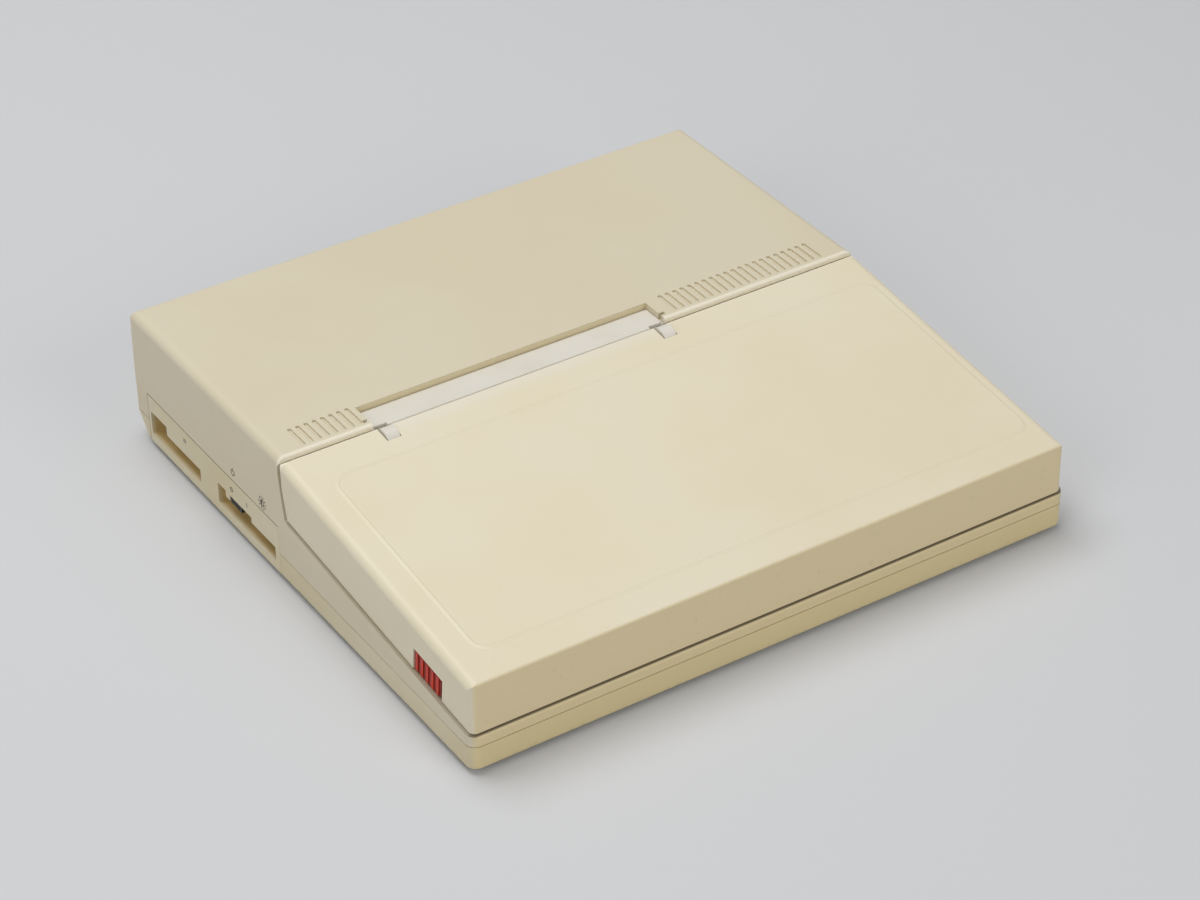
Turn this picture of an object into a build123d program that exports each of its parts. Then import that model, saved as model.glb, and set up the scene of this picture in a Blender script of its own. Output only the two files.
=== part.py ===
from build123d import *
import os
from math import atan, cos, degrees, radians, sin

os.makedirs("parts", exist_ok=True)

# Lengths are in millimetres and angles in degrees.
# The front faces -Y, the case stands on Z = 0 and is centred on X = 0 and Y = 0.

# Case
case_width = 311.0
case_depth = 304.0
case_height = 66.0
foot_height = 2.5
wall = 2.5
corner_radius = 5.0
parting_height = 14.7
parting_gap = 0.4
lip_height = 2.0
lip_thickness = 1.2
side_lean = 1.7
rear_lean = 1.2
side_edge_radius = 4.0
rear_edge_radius = 2.2
chamfer_height = 16.5
chamfer_depth = 14.0
seat_gap = 0.3
fit_gap = 0.05

# Sloping deck and the face of the rear housing behind it
deck_front_height = 20.2
deck_rear_height = 36.0
deck_lip_radius = 1.5
housing_foot_y = 3.9
housing_front_y = 9.4
housing_bend_height = 57.5
housing_lip_y = 8.2
housing_lip_low = 63.4
housing_lip_foot = 61.8
housing_lip_radius = 1.4

# Lid
lid_inset = 1.2
lid_gap = 0.7
lid_wall = 2.5
lid_front_height = 46.2
lid_rear_height = 65.0
lid_rear_y = 7.7
lid_foot_y = 3.0
lid_corner_radius = 3.3
lid_side_radius = 4.0
lid_front_radius = 1.2
lid_rear_radius = 2.6
lid_bend_radius = 4.0
panel_left = -139.5
panel_right = 146.5
panel_front = -134.5
panel_back = -14.0
panel_rise = 0.35
panel_radius = 7.0

# Hinge
hinge_y = 2.0
hinge_height = 59.7
hub_radius = 6.2
hub_width = 6.2
hub_gap = 0.35
slot_gap = 0.5
slot_floor = 48.0
knuckle_places = (-102.3, 43.3)
pin_radius = 1.6
pin_reach = 6.0
lug_width = 7.0
lug_radius = 4.4
arm_angle = 40.0
arm_length = 22.0
arm_thickness = 7.0
hinge_foot_width = 14.0
washer_radius = 3.2
washer_thickness = 0.4
well_left = -106.5
well_right = 47.5
well_back = 24.2
well_floor = 44.0
well_skin = 2.0
cover_drop = 3.0
cover_front = 8.9
cover_thickness = 2.2
notch_depth = 1.4

# Vent grooves in the housing's top
groove_pitch = 4.1
groove_width = 2.0
groove_depth = 0.9
groove_front = 11.6
groove_back = 26.2
left_groove_start = -139.0
left_groove_count = 8
right_groove_start = 56.0
right_groove_count = 21

# Control panels low in the flanks
flank_low = 3.0
flank_high = 29.3
flank_front = 10.6
flank_rear = 137.0
flank_seam = 0.25
pocket_depth = 9.5
pocket_floor = 8.0
pocket_wall = 1.6
pocket_low_top = 15.6
socket_pocket_front = 86.0
socket_pocket_step = 119.0
socket_pocket_rear = 134.8
socket_pocket_top = 20.5
switch_pocket_front = 14.5
switch_pocket_step = 61.0
switch_pocket_rear = 68.5
switch_pocket_top = 19.0
switch_front = 36.6
switch_rear = 57.0
switch_low = 14.6
switch_high = 18.6
switch_depth = 4.6
knob_travel = 9.0
wheel_radius = 9.0
wheel_thickness = 3.0
wheel_height = 10.5
wheel_y = 25.0
wheel_show = 3.0
inlet_y = 127.0
inlet_height = 14.0
inlet_radius = 4.5

# Keyboard, measured in the deck's own plane
key_pitch = 19.05
key_gap = 1.5
key_low = -1.5
key_height = 7.0
key_taper = 14.0
key_travel = 3.3
dish_radius = 38.0
dish_depth = 0.8
stem_size = 5.5
stem_low = -5.8
switch_size = 13.5
keyboard_width = 285.75
keyboard_front = -141.0
function_depth = 12.0
function_gap = 3.0
opening_margin = 1.2
plate_low = -10.6
plate_thickness = 1.2
plate_margin = 3.0
board_thickness = 1.6

# Status lamps in the strip behind the keys
lamp_radius = 2.0
lamp_x = 96.0
lamp_pitch = 12.0
lamp_y = -12.0
lamp_count = 3

# Display, measured in the deck's own plane
bezel_low = 8.7
bezel_thickness = 2.0
screen_width = 232.0
screen_depth = 92.0
screen_y = -72.0
glass_margin = 6.0
glass_thickness = 2.4
frame_wall = 2.0
frame_height = 6.5
ribbon_width = 30.0
ribbon_thickness = 0.4
ribbon_x = -24.0
ribbon_height = 51.5
ribbon_slot = 2.4

# Latches, measured in the deck's own plane
latch_front = -125.8
latch_rear = -105.0
latch_low = 0.4
latch_high = 11.8
latch_corner_radius = 2.0
latch_recess = 0.2
latch_travel = 1.8
latch_play = 0.25
rib_count = 5
rib_width = 1.8
flange_margin = 3.0
flange_thickness = 1.4
hook_front = -118.0
hook_rear = -112.0
hook_thickness = 2.4
hook_low = -4.8
barb_reach = 1.3
barb_height = 1.8

# Floor of the case and what stands on it
board_height = 9.0
screw_radius = 1.5
boss_radius = 3.2
foot_radius = 7.0
foot_seat = 0.5
cell_radius = 12.4
cell_length = 50.0
cell_count = 4
cell_gap = 0.3
battery_left = -129.0
battery_front = 33.0

# Disk drive
drive_left = 16.0
drive_front = 31.0
drive_width = 100.0
drive_low = 30.2
bezel_foot = 31.8
drive_top = 59.2
drive_wall = 2.5
bezel_face = 153.9
bezel_depth = 3.4
disk_slot_low = 47.0
disk_slot_height = 5.0
disk_slot_length = 90.0
eject_y = 114.0
eject_height = 39.0
eject_travel = 3.5
spindle_x = 72.0
rotor_radius = 17.0
carriage_travel = 14.0
rod_radius = 1.5
rod_spread = 16.0

# Recess in the rear wall and the sockets in it
rear_boss_top = 23.0
recess_half = 118.0
recess_low = 24.0
recess_high = 50.0
recess_depth = 7.0
rim_wall = 1.6
wide_socket_x = -52.0
wide_socket_width = 39.0
small_socket_x = 22.0
small_socket_width = 17.0
socket_height = 8.5
jack_x = 74.0
jack_radius = 4.2

side = case_width / 2
front = -case_depth / 2
rear = case_depth / 2
floor = foot_height + wall
tray_top = parting_height - parting_gap / 2
shell_low = parting_height + parting_gap / 2
chamfer_top = foot_height + chamfer_height
chamfer_foot = rear - chamfer_depth
deck_slope = (deck_rear_height - deck_front_height) / (housing_foot_y - front)
deck_angle = degrees(atan(deck_slope))
lid_side = side - lid_inset
lid_front = front + lid_inset
lid_slope = (lid_rear_height - lid_front_height) / (lid_rear_y - lid_front)
lid_angle = degrees(atan(lid_slope))
keyboard_rear = keyboard_front + 5 * key_pitch + function_gap + function_depth
board_low = plate_low - board_thickness
frame_low = bezel_low + bezel_thickness
drive_middle = drive_front + drive_width / 2
drive_right = bezel_face - bezel_depth
shell_inner = side - wall - side_lean / 2
hub_height = (hinge_y, hinge_height)
knob_length = switch_rear - switch_front - knob_travel - 1.0
switch_top = key_low - key_travel - 0.4


def deck_height(y):
    return deck_front_height + (y - front) * deck_slope


def lid_height(y):
    return lid_front_height + (y - lid_front) * lid_slope


def sloping_plane(height, angle):
    """A plane through (0, 0, height) that rises towards the rear."""
    up = (0, -sin(radians(angle)), cos(radians(angle)))
    return Plane(origin=(0, 0, height), x_dir=(1, 0, 0), z_dir=up)


deck = sloping_plane(deck_height(0), deck_angle)
lid_face = sloping_plane(lid_height(0), lid_angle)
plan = ((-side, front), (side, front), (side, rear), (-side, rear))
four_corners = range(4)

# Places on the floor, as (x, y)
case_screw_places = [(x, y) for x in (-149.6, 149.6) for y in (-141.0, -45.0)]
rear_screw_places = [(-66.0, 135.0), (4.0, 135.0)]
foot_places = [(x, y) for x in (-134.0, 134.0) for y in (-134.0, 122.0)]
main_board_posts = [(x, y) for x in (-60.0, 136.0) for y in (-18.0, 112.0)]
power_board_posts = [(x, y) for x in (-122.0, -80.0) for y in (-20.0, 20.0)]
drive_posts = [(x, y) for x in (34.0, 132.0) for y in (38.0, 124.0)]
bezel_screw_places = [(x, y) for x in (-144.5, 144.5) for y in (-141.0, -70.0, -9.0)]


def keep(piece, label):
    """Name a finished piece and write it."""
    piece.part.label = label
    export_step(piece.part, f"parts/{label}.step")


def prism(points, plane, depth, radii=None, mode=Mode.ADD):
    """Extrude a closed outline, with the corners that radii numbers rounded."""
    with BuildSketch(plane) as view:
        with BuildLine():
            Polyline(*points, close=True)
        make_face()
        for number, radius in (radii or {}).items():
            fillet(view.vertices().sort_by_distance(points[number])[0], radius)
    extrude(view.sketch, amount=depth, mode=mode)


def side_prism(points, low_x, high_x, radii=None, mode=Mode.ADD):
    """Extrude a side view of (y, z) points from low_x to high_x."""
    prism(points, Plane.YZ.offset(low_x), high_x - low_x, radii, mode)


def block(low, high, plane=Plane.XY, radius=0.0, mode=Mode.ADD):
    """Fill the box between two corners, given along the plane's own axes."""
    (x0, y0, z0), (x1, y1, z1) = low, high
    corners = ((x0, y0), (x1, y0), (x1, y1), (x0, y1))
    rounded = dict.fromkeys(four_corners, radius) if radius else None
    prism(corners, plane.offset(z0), z1 - z0, rounded, mode)


def peg(at, radius, low, high, plane=Plane.XY, mode=Mode.ADD):
    """Stand a round bar on the plane at a point, from low to high."""
    with BuildSketch(plane.offset(low)) as base:
        with Locations(at):
            Circle(radius)
    extrude(base.sketch, amount=high - low, mode=mode)


def ordered(a, b):
    return min(a, b), max(a, b)


# Case


def seam_lip():
    """Lip on the tray that stands inside the upper case from flank to flank round the front."""
    low_y, high_y = front + wall + fit_gap, flank_front - 3
    bands = (
        (side - wall + 0.1, tray_top - lip_height, tray_top),
        (shell_inner - fit_gap, tray_top - lip_height, tray_top + lip_height),
    )
    for half, low, high in bands:
        block((-half, low_y, low), (half, high_y, high))
    half = shell_inner - lip_thickness
    block((-half, low_y + lip_thickness, floor), (half, high_y + 1, case_height), mode=Mode.SUBTRACT)


def bottom_case():
    """Shallow tray that closes the case from below."""
    with BuildPart() as tray:
        corners = dict.fromkeys(four_corners, corner_radius)
        prism(plan, Plane.XY.offset(foot_height), tray_top - foot_height, corners)
        fillet(tray.faces().sort_by(Axis.Z)[0].edges(), 1.6)
        block((-side + wall, front + wall, floor), (side - wall, rear - wall, case_height), mode=Mode.SUBTRACT)
        seam_lip()
        slant = 1.2 * wall
        chamfer_wall = (
            (chamfer_foot - slant, foot_height),
            (chamfer_foot, foot_height),
            (rear, chamfer_top),
            (rear - slant, chamfer_top),
        )
        side_prism(chamfer_wall, -side + wall, side - wall)
        below = ((chamfer_foot, foot_height - 1), (rear + 5, foot_height - 1), (rear + 5, chamfer_top), (rear, chamfer_top))
        side_prism((*below, (chamfer_foot, foot_height)), -side, side, mode=Mode.SUBTRACT)
        block((-side, flank_front - 3, tray_top), (side, rear, case_height), mode=Mode.SUBTRACT)
        for sign in (-1, 1):
            low_x, high_x = ordered(sign * (side - wall - flank_seam), sign * (side + 1))
            block(
                (low_x, flank_front - flank_seam, foot_height - 1),
                (high_x, flank_rear + flank_seam, tray_top + 1),
                mode=Mode.SUBTRACT,
            )
        for at in main_board_posts + power_board_posts:
            peg(at, boss_radius, floor - 1, board_height)
        for at in drive_posts:
            peg(at, boss_radius, floor - 1, drive_low - plate_thickness)
        for at in case_screw_places + rear_screw_places:
            peg(at, boss_radius, floor - 1, tray_top)
            peg(at, screw_radius + 0.2, 0, tray_top + 1, mode=Mode.SUBTRACT)
            peg(at, 2 * screw_radius + 0.2, 0, foot_height + 2, mode=Mode.SUBTRACT)
            peg(at, boss_radius + seat_gap, tray_top, tray_top + lip_height + 1, mode=Mode.SUBTRACT)
        for at in foot_places:
            peg(at, foot_radius + fit_gap, 0, foot_height + foot_seat, mode=Mode.SUBTRACT)
    keep(tray, "bottom_case")


def rubber_feet():
    """Four round feet, each let into the floor."""
    with BuildPart() as feet:
        for at in foot_places:
            peg(at, foot_radius, 0, foot_height + foot_seat)
        fillet(feet.faces().filter_by(Axis.Z).group_by(Axis.Z)[0].edges(), 0.8)
    keep(feet, "rubber_feet")


def case_screws():
    """Self-tapping screws driven up from below."""
    with BuildPart() as screws:
        for at in case_screw_places + rear_screw_places:
            peg(at, 2 * screw_radius, foot_height + 0.2, foot_height + 2)
            peg(at, screw_radius - 0.02, foot_height + 2, tray_top + 2.6)
            peg(at, 0.9, foot_height, foot_height + 1.2, mode=Mode.SUBTRACT)
    keep(screws, "case_screws")


def housing_outline():
    """Side view of the upper case, from its front band up to the top and down the rear."""
    cut_back = (chamfer_top - shell_low) * chamfer_depth / chamfer_height
    return (
        (front, shell_low),
        (front, deck_front_height),
        (housing_foot_y, deck_rear_height),
        (housing_front_y, housing_bend_height),
        (housing_front_y, housing_lip_foot),
        (housing_lip_y, housing_lip_low),
        (housing_lip_y, case_height),
        (rear - rear_lean, case_height),
        (rear, flank_high),
        (rear, chamfer_top),
        (rear - cut_back, shell_low),
    )


def housing_cavity():
    """Side view of the space inside the upper case."""
    under_deck = wall / cos(radians(deck_angle)) - wall * deck_slope
    cut_back = (chamfer_top - shell_low) * chamfer_depth / chamfer_height
    return (
        (front + wall, shell_low - 1),
        (front + wall, deck_front_height - under_deck),
        (housing_foot_y + wall, deck_rear_height - under_deck),
        (housing_front_y + wall, housing_bend_height),
        (housing_front_y + wall, case_height - wall),
        (rear - rear_lean - wall, case_height - wall),
        (rear - wall, flank_high),
        (rear - wall, chamfer_top),
        (rear - wall - cut_back, shell_low),
        (rear - wall - cut_back, shell_low - 1),
    )


def hinge_well():
    """Tray sunk into the housing's front edge, which holds the hinge."""
    low_x, high_x = well_left - well_skin, well_right + well_skin
    low_z, back = well_floor - well_skin, well_back + well_skin
    block((low_x, housing_front_y, low_z), (high_x, back, case_height - 1))
    block((low_x, housing_foot_y + 3, low_z), (high_x, back, well_floor))
    block((well_left, 0, well_floor), (well_right, well_back, case_height + 1), mode=Mode.SUBTRACT)
    for edge, sign in ((well_left, -1), (well_right, 1)):
        low_x, high_x = ordered(edge, edge + sign * 2.6)
        block((low_x, 11.4, case_height - 3.4), (high_x, 13.6, case_height + 1), mode=Mode.SUBTRACT)
    half = ribbon_width / 2 + 1
    block(
        (ribbon_x - half, well_back - 8, well_floor - well_skin - 1),
        (ribbon_x + half, well_back - 4, well_floor + 1),
        mode=Mode.SUBTRACT,
    )
    for at in hinge_screw_places():
        peg(at, screw_radius, well_floor - well_skin - 1, well_floor + 1, mode=Mode.SUBTRACT)


def vent_grooves():
    """Two groups of shallow grooves along the housing's front edge."""
    groups = ((left_groove_start, left_groove_count), (right_groove_start, right_groove_count))
    for start, count in groups:
        middle = (start + (count - 1) * groove_pitch / 2, (groove_front + groove_back) / 2)
        with BuildSketch(Plane.XY.offset(case_height)) as grooves:
            with Locations(middle):
                with GridLocations(groove_pitch, 1, count, 1):
                    SlotOverall(groove_back - groove_front, groove_width, rotation=90)
        extrude(grooves.sketch, amount=-groove_depth, mode=Mode.SUBTRACT)


def flank_opening(sign):
    """Cut-out low in one flank for its control panel."""
    low_x, high_x = ordered(sign * (side - 8), sign * (side + 1))
    block(
        (low_x, flank_front - flank_seam, shell_low - 1),
        (high_x, flank_rear + flank_seam, flank_high + flank_seam),
        mode=Mode.SUBTRACT,
    )


def latch_slot(sign):
    """Slot in the deck that one latch hook enters."""
    outer = lid_side - lid_wall - latch_play - flange_thickness
    low_x, high_x = ordered(sign * (outer + 0.6), sign * (outer - hook_thickness - 0.6))
    block(
        (low_x, hook_front - latch_travel - 0.6, -wall - 1),
        (high_x, hook_rear + 0.4, 1),
        deck,
        mode=Mode.SUBTRACT,
    )


def rear_block(inset, low_y, high_y, mode=Mode.ADD):
    """Rounded block the size of the rear recess less inset, between two depths."""
    block(
        (-recess_half + inset, recess_low + inset, -high_y),
        (recess_half - inset, recess_high - inset, -low_y),
        Plane.XZ,
        3.0,
        mode,
    )


def top_case():
    """Sloping keyboard deck and the tall rear housing, moulded as one shell."""
    with BuildPart() as shell:
        side_prism(housing_outline(), -side, side, {1: deck_lip_radius, 6: housing_lip_radius, 7: rear_edge_radius})
        prism(plan, Plane.XY, case_height, dict.fromkeys(four_corners, corner_radius), Mode.INTERSECT)
        leaning = (
            (-side, 0),
            (side, 0),
            (side, flank_high),
            (side - side_lean, case_height),
            (-side + side_lean, case_height),
            (-side, flank_high),
        )
        rounded = {3: side_edge_radius, 4: side_edge_radius}
        prism(leaning, Plane.XZ.offset(-rear), case_depth, rounded, Mode.INTERSECT)
        side_prism(housing_cavity(), -shell_inner, shell_inner, mode=Mode.SUBTRACT)
        hinge_well()
        vent_grooves()
        block(
            (-keyboard_width / 2 - opening_margin, keyboard_front - opening_margin, -wall - 2),
            (keyboard_width / 2 + opening_margin, keyboard_rear + opening_margin, 3),
            deck,
            1.5,
            Mode.SUBTRACT,
        )
        for sign in (-1, 1):
            flank_opening(sign)
            latch_slot(sign)
        block(
            (side - 8, drive_front - seat_gap, bezel_foot - seat_gap),
            (side + 1, drive_front + drive_width + seat_gap, drive_top + seat_gap),
            mode=Mode.SUBTRACT,
        )
        rear_block(0, rear - wall - 3, rear + 1, Mode.SUBTRACT)
        for number in range(lamp_count):
            at = (lamp_x + number * lamp_pitch, lamp_y)
            peg(at, lamp_radius + fit_gap, -wall - 1, 1, deck, Mode.SUBTRACT)
        for at in case_screw_places:
            peg(at, boss_radius, tray_top, deck_height(at[1]) - wall)
        for at in rear_screw_places:
            peg(at, boss_radius, tray_top, rear_boss_top)
            rib = (
                (at[1], shell_low),
                (rear - wall - 3, shell_low),
                (rear - wall + 0.5, chamfer_top),
                (rear - wall + 0.5, rear_boss_top),
                (at[1], rear_boss_top),
            )
            side_prism(rib, at[0] - 1.2, at[0] + 1.2)
        for at in case_screw_places + rear_screw_places:
            peg(at, screw_radius, tray_top - 1, tray_top + 3.2, mode=Mode.SUBTRACT)
    keep(shell, "top_case")


# Flank panels and their controls


def pocket(front_y, step_y, rear_y, top):
    """Side view of a control pocket, taller at its rear end."""
    return (
        (front_y, pocket_floor),
        (rear_y, pocket_floor),
        (rear_y, top),
        (step_y, top),
        (step_y, pocket_low_top),
        (front_y, pocket_low_top),
    )


def side_panel_left():
    """Control panel with two stepped pockets, one for the switch and one for the inlet."""
    with BuildPart() as panel:
        face = -side
        block((face, flank_front, flank_low), (face + wall, flank_rear, flank_high))
        pockets = (
            (socket_pocket_front, socket_pocket_step, socket_pocket_rear, socket_pocket_top),
            (switch_pocket_front, switch_pocket_step, switch_pocket_rear, switch_pocket_top),
        )
        for front_y, step_y, rear_y, top in pockets:
            block(
                (face, front_y - pocket_wall, pocket_floor - pocket_wall),
                (face + pocket_depth + pocket_wall, rear_y + pocket_wall, top + pocket_wall),
            )
        for sizes in pockets:
            side_prism(pocket(*sizes), face - 1, face + pocket_depth, {1: 0.8, 2: 1.0, 4: 0.8}, Mode.SUBTRACT)
        block(
            (face - 1, switch_front, switch_low),
            (face + switch_depth, switch_rear, switch_high),
            mode=Mode.SUBTRACT,
        )
        wheel_slot = wheel_radius + 0.5
        centre = (face + pocket_depth - wheel_show + wheel_radius, wheel_y)
        peg(centre, wheel_slot, wheel_height - 0.4, wheel_height + wheel_thickness + 0.4, mode=Mode.SUBTRACT)
        peg((inlet_y, inlet_height), inlet_radius + fit_gap, face + 1, face + 15, Plane.YZ, Mode.SUBTRACT)
        chamfer(panel.faces().sort_by(Axis.X)[0].outer_wire().edges(), 0.3)
    keep(panel, "side_panel_left")


def side_panel_right():
    """Plain panel under the disk drive."""
    with BuildPart() as panel:
        block((side - wall, flank_front, flank_low), (side, flank_rear, flank_high))
        chamfer(panel.faces().sort_by(Axis.X)[-1].edges(), 0.3)
    keep(panel, "side_panel_right")


def power_switch():
    """Slide switch: a fixed body at the back of its window and a knob that slides over it."""
    back = -side + switch_depth
    body_front = back - 1.8
    with BuildPart() as body:
        block(
            (body_front, switch_front + 0.2, switch_low + 0.2),
            (back - fit_gap, switch_rear - 0.2, switch_high - 0.2),
        )
    keep(body, "switch_body")
    with BuildPart() as knob:
        low = (-side + 0.3, switch_rear - 0.4 - knob_length, switch_low + seat_gap)
        block(low, (body_front - fit_gap, switch_rear - 0.4, switch_high - seat_gap))
        for step in range(4):
            y = switch_rear - 2.4 - step * 2.0
            block((-side, y - 0.4, switch_low), (-side + 0.7, y + 0.4, switch_high), mode=Mode.SUBTRACT)
    keep(knob, "power_switch_knob")


def contrast_control():
    """Thumbwheel that shows its rim in the switch pocket, on a small rotary control."""
    centre = (-side + pocket_depth - wheel_show + wheel_radius, wheel_y)
    high = wheel_height + wheel_thickness
    with BuildPart() as wheel:
        peg(centre, wheel_radius, wheel_height, high)
        with BuildSketch(Plane.XY.offset(wheel_height)) as notches:
            with Locations(centre):
                with PolarLocations(wheel_radius, 36):
                    Circle(0.35)
        extrude(notches.sketch, amount=wheel_thickness, mode=Mode.SUBTRACT)
        peg(centre, 1.25, 0, case_height, mode=Mode.SUBTRACT)
    keep(wheel, "contrast_wheel")
    with BuildPart() as control:
        peg(centre, 4.0, floor, wheel_height - 0.5)
        peg(centre, 1.2, floor, high)
    keep(control, "contrast_control")


def dc_inlet():
    """Round supply socket at the back of the rear pocket."""
    with BuildPart() as socket:
        inner = -side + pocket_depth
        at = (inlet_y, inlet_height)
        peg(at, inlet_radius, inner - 0.6, inner + 9, Plane.YZ)
        peg(at, inlet_radius - 1.2, inner - 1, inner + 7, Plane.YZ, Mode.SUBTRACT)
        peg(at, 0.9, inner, inner + 8, Plane.YZ)
    keep(socket, "dc_inlet")


# Hinge


def hinge_screw_places():
    places = []
    for x, sign in zip(knuckle_places, (1, -1)):
        places += [(x + sign * 9.0, y) for y in (15.0, 20.6)]
    return places


def ribbon_opening(low_y, high_y):
    """Slot that lets the display's flat cable through."""
    half = ribbon_width / 2 + 1
    low = ribbon_height + (ribbon_thickness - ribbon_slot) / 2
    block((ribbon_x - half, low_y, low), (ribbon_x + half, high_y, low + ribbon_slot), mode=Mode.SUBTRACT)


def hinge_cover():
    """Plate that closes the hinge well, with a skirt in front of the arms."""
    top = case_height - cover_drop
    skirt_front = housing_front_y - 0.05
    with BuildPart() as cover:
        block(
            (well_left + seat_gap, cover_front, top - cover_thickness),
            (well_right - seat_gap, well_back - 0.4, top),
        )
        block(
            (well_left + seat_gap, skirt_front, well_floor + fit_gap),
            (well_right - seat_gap, skirt_front + 2.0, top - 0.5),
        )
        for x in knuckle_places:
            half = hub_width / 2 + 0.4
            block(
                (x - half, skirt_front - 1, well_floor - 1),
                (x + half, skirt_front + notch_depth, top + 1),
                mode=Mode.SUBTRACT,
            )
            block(
                (x - half, skirt_front - 1, well_floor - 1),
                (x + half, skirt_front + 3, hinge_height),
                mode=Mode.SUBTRACT,
            )
        ribbon_opening(skirt_front - 1, skirt_front + 3)
        top_face = cover.faces().filter_by(Axis.Z).sort_by(Axis.Z)[-1]
        fillet(top_face.edges().filter_by(Axis.X), 0.7)
    keep(cover, "hinge_cover")


def hinge_bracket(x, inward, label):
    """White knuckle on an arm that stands on the floor of the well."""
    along = (cos(radians(arm_angle)), -sin(radians(arm_angle)))
    across = (arm_thickness / 2 * -along[1], arm_thickness / 2 * along[0])
    end = (hinge_y + arm_length * along[0], hinge_height + arm_length * along[1])
    low = well_floor + fit_gap
    with BuildPart() as bracket:
        with BuildSketch(Plane.YZ.offset(x - hub_width / 2)) as view:
            with BuildLine():
                Polyline(
                    (hinge_y + across[0], hinge_height + across[1]),
                    (end[0] + across[0], end[1] + across[1]),
                    (end[0] - across[0], end[1] - across[1]),
                    (hinge_y - across[0], hinge_height - across[1]),
                    close=True,
                )
            make_face()
            with Locations(hub_height):
                Circle(hub_radius)
        extrude(view.sketch, amount=hub_width)
        low_x, high_x = ordered(x - inward * hub_width / 2, x + inward * hinge_foot_width)
        block((low_x, 12.2, low), (high_x, well_back - 0.8, low + 2.4))
        block((x - 30, -30, low - 30), (x + 30, 60, low), mode=Mode.SUBTRACT)
        peg(hub_height, pin_radius + 0.01, x - hub_width, x + hub_width, Plane.YZ, Mode.SUBTRACT)
        for at in hinge_screw_places():
            peg(at, screw_radius, low - 1, low + 4, mode=Mode.SUBTRACT)
    keep(bracket, label)


def hinge_pins():
    """Steel pins through the knuckles and the lid's lugs."""
    reach = hub_width / 2 + slot_gap + pin_reach
    with BuildPart() as pins:
        for x in knuckle_places:
            peg(hub_height, pin_radius, x - reach, x + reach, Plane.YZ)
    keep(pins, "hinge_pins")


def hinge_washers():
    """Spring washers beside each knuckle, which give the lid its friction."""
    play = (slot_gap - washer_thickness) / 2
    with BuildPart() as washers:
        for x in knuckle_places:
            for low in (x - hub_width / 2 - play - washer_thickness, x + hub_width / 2 + play):
                peg(hub_height, washer_radius, low, low + washer_thickness, Plane.YZ)
                peg(hub_height, pin_radius + fit_gap, low - 1, low + 1, Plane.YZ, Mode.SUBTRACT)
    keep(washers, "hinge_washers")


def hinge_screws():
    """Screws that hold the brackets to the floor of the well."""
    with BuildPart() as screws:
        head = well_floor + fit_gap + 2.4
        for at in hinge_screw_places():
            peg(at, screw_radius - 0.02, well_floor - well_skin, head)
            peg(at, 2 * screw_radius - 0.4, head, head + 1.6)
    keep(screws, "hinge_screws")


# Lid


def lid_outline(inset, low):
    """Side view of the lid, drawn in by inset and reaching down to low above the deck."""
    y0, y1, y2 = lid_front + inset, lid_rear_y - inset, lid_foot_y - inset
    return (
        (y0, deck_height(y0) + low),
        (y0, lid_height(y0) - inset),
        (y1, lid_height(y1) - inset),
        (y1, hinge_height),
        (y2, deck_height(y2) + low),
    )


def lid_cover():
    """Outer shell of the lid, with lugs for the hinge pins and a raised panel on top."""
    with BuildPart() as cover:
        rounded = {1: lid_front_radius, 2: lid_rear_radius, 3: lid_bend_radius}
        side_prism(lid_outline(0, lid_gap), -lid_side, lid_side, rounded)
        plan_view = ((-lid_side, lid_front), (lid_side, lid_front), (lid_side, lid_rear_y), (-lid_side, lid_rear_y))
        corners = {0: lid_corner_radius, 1: lid_corner_radius, 2: 2.0, 3: 2.0}
        prism(plan_view, Plane.XY, case_height, corners, Mode.INTERSECT)
        rise = (0, -cos(radians(lid_angle)), -sin(radians(lid_angle)))
        start = lid_rear_y + 6
        end_view = Plane(origin=(0, start, lid_height(start)), x_dir=(1, 0, 0), z_dir=rise)
        section = ((-lid_side, -80), (lid_side, -80), (lid_side, 0), (-lid_side, 0))
        prism(section, end_view, case_depth, {2: lid_side_radius, 3: lid_side_radius}, Mode.INTERSECT)
        inner = lid_side - lid_wall
        side_prism(lid_outline(lid_wall, -1), -inner, inner, mode=Mode.SUBTRACT)
        panel_low = (panel_left, panel_front / cos(radians(lid_angle)), -0.5)
        panel_high = (panel_right, panel_back / cos(radians(lid_angle)), panel_rise)
        block(panel_low, panel_high, lid_face, panel_radius)
        for x in knuckle_places:
            hinge_lugs(x)
        for at in bezel_screw_places:
            peg(at, boss_radius, frame_low, lid_height(at[1]) - deck_height(at[1]) - lid_wall / 2, deck)
            peg(at, screw_radius - 0.25, frame_low - 1, 19.0, deck, Mode.SUBTRACT)
        ribbon_opening(lid_foot_y - wall, lid_rear_y + 1)
        for sign in (-1, 1):
            latch_window(sign)
    keep(cover, "lid_cover")


def hinge_lugs(x):
    """Slot for one knuckle and the bored lugs on both sides of it."""
    half = hub_width / 2 + slot_gap
    lug_view = (
        (hinge_y - lug_radius, hinge_height),
        (hinge_y + lug_radius, hinge_height),
        (lid_rear_y - 1, hinge_height),
        (lid_rear_y - 1, lid_height(lid_rear_y) - lid_rear_radius),
        (hinge_y + 2, lid_height(hinge_y) - 1),
        (hinge_y - lug_radius, lid_height(hinge_y - lug_radius) - 1),
    )
    side_prism(lug_view, x - half - lug_width, x + half + lug_width)
    peg(hub_height, lug_radius, x - half - lug_width, x + half + lug_width, Plane.YZ)
    peg(hub_height, pin_radius + fit_gap, x - half - lug_width - 1, x + half + lug_width + 1, Plane.YZ, Mode.SUBTRACT)
    peg(hub_height, hub_radius + hub_gap, x - half, x + half, Plane.YZ, Mode.SUBTRACT)
    block((x - half, hinge_y, slot_floor), (x + half, lid_rear_y + 5, case_height + 5), mode=Mode.SUBTRACT)


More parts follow.
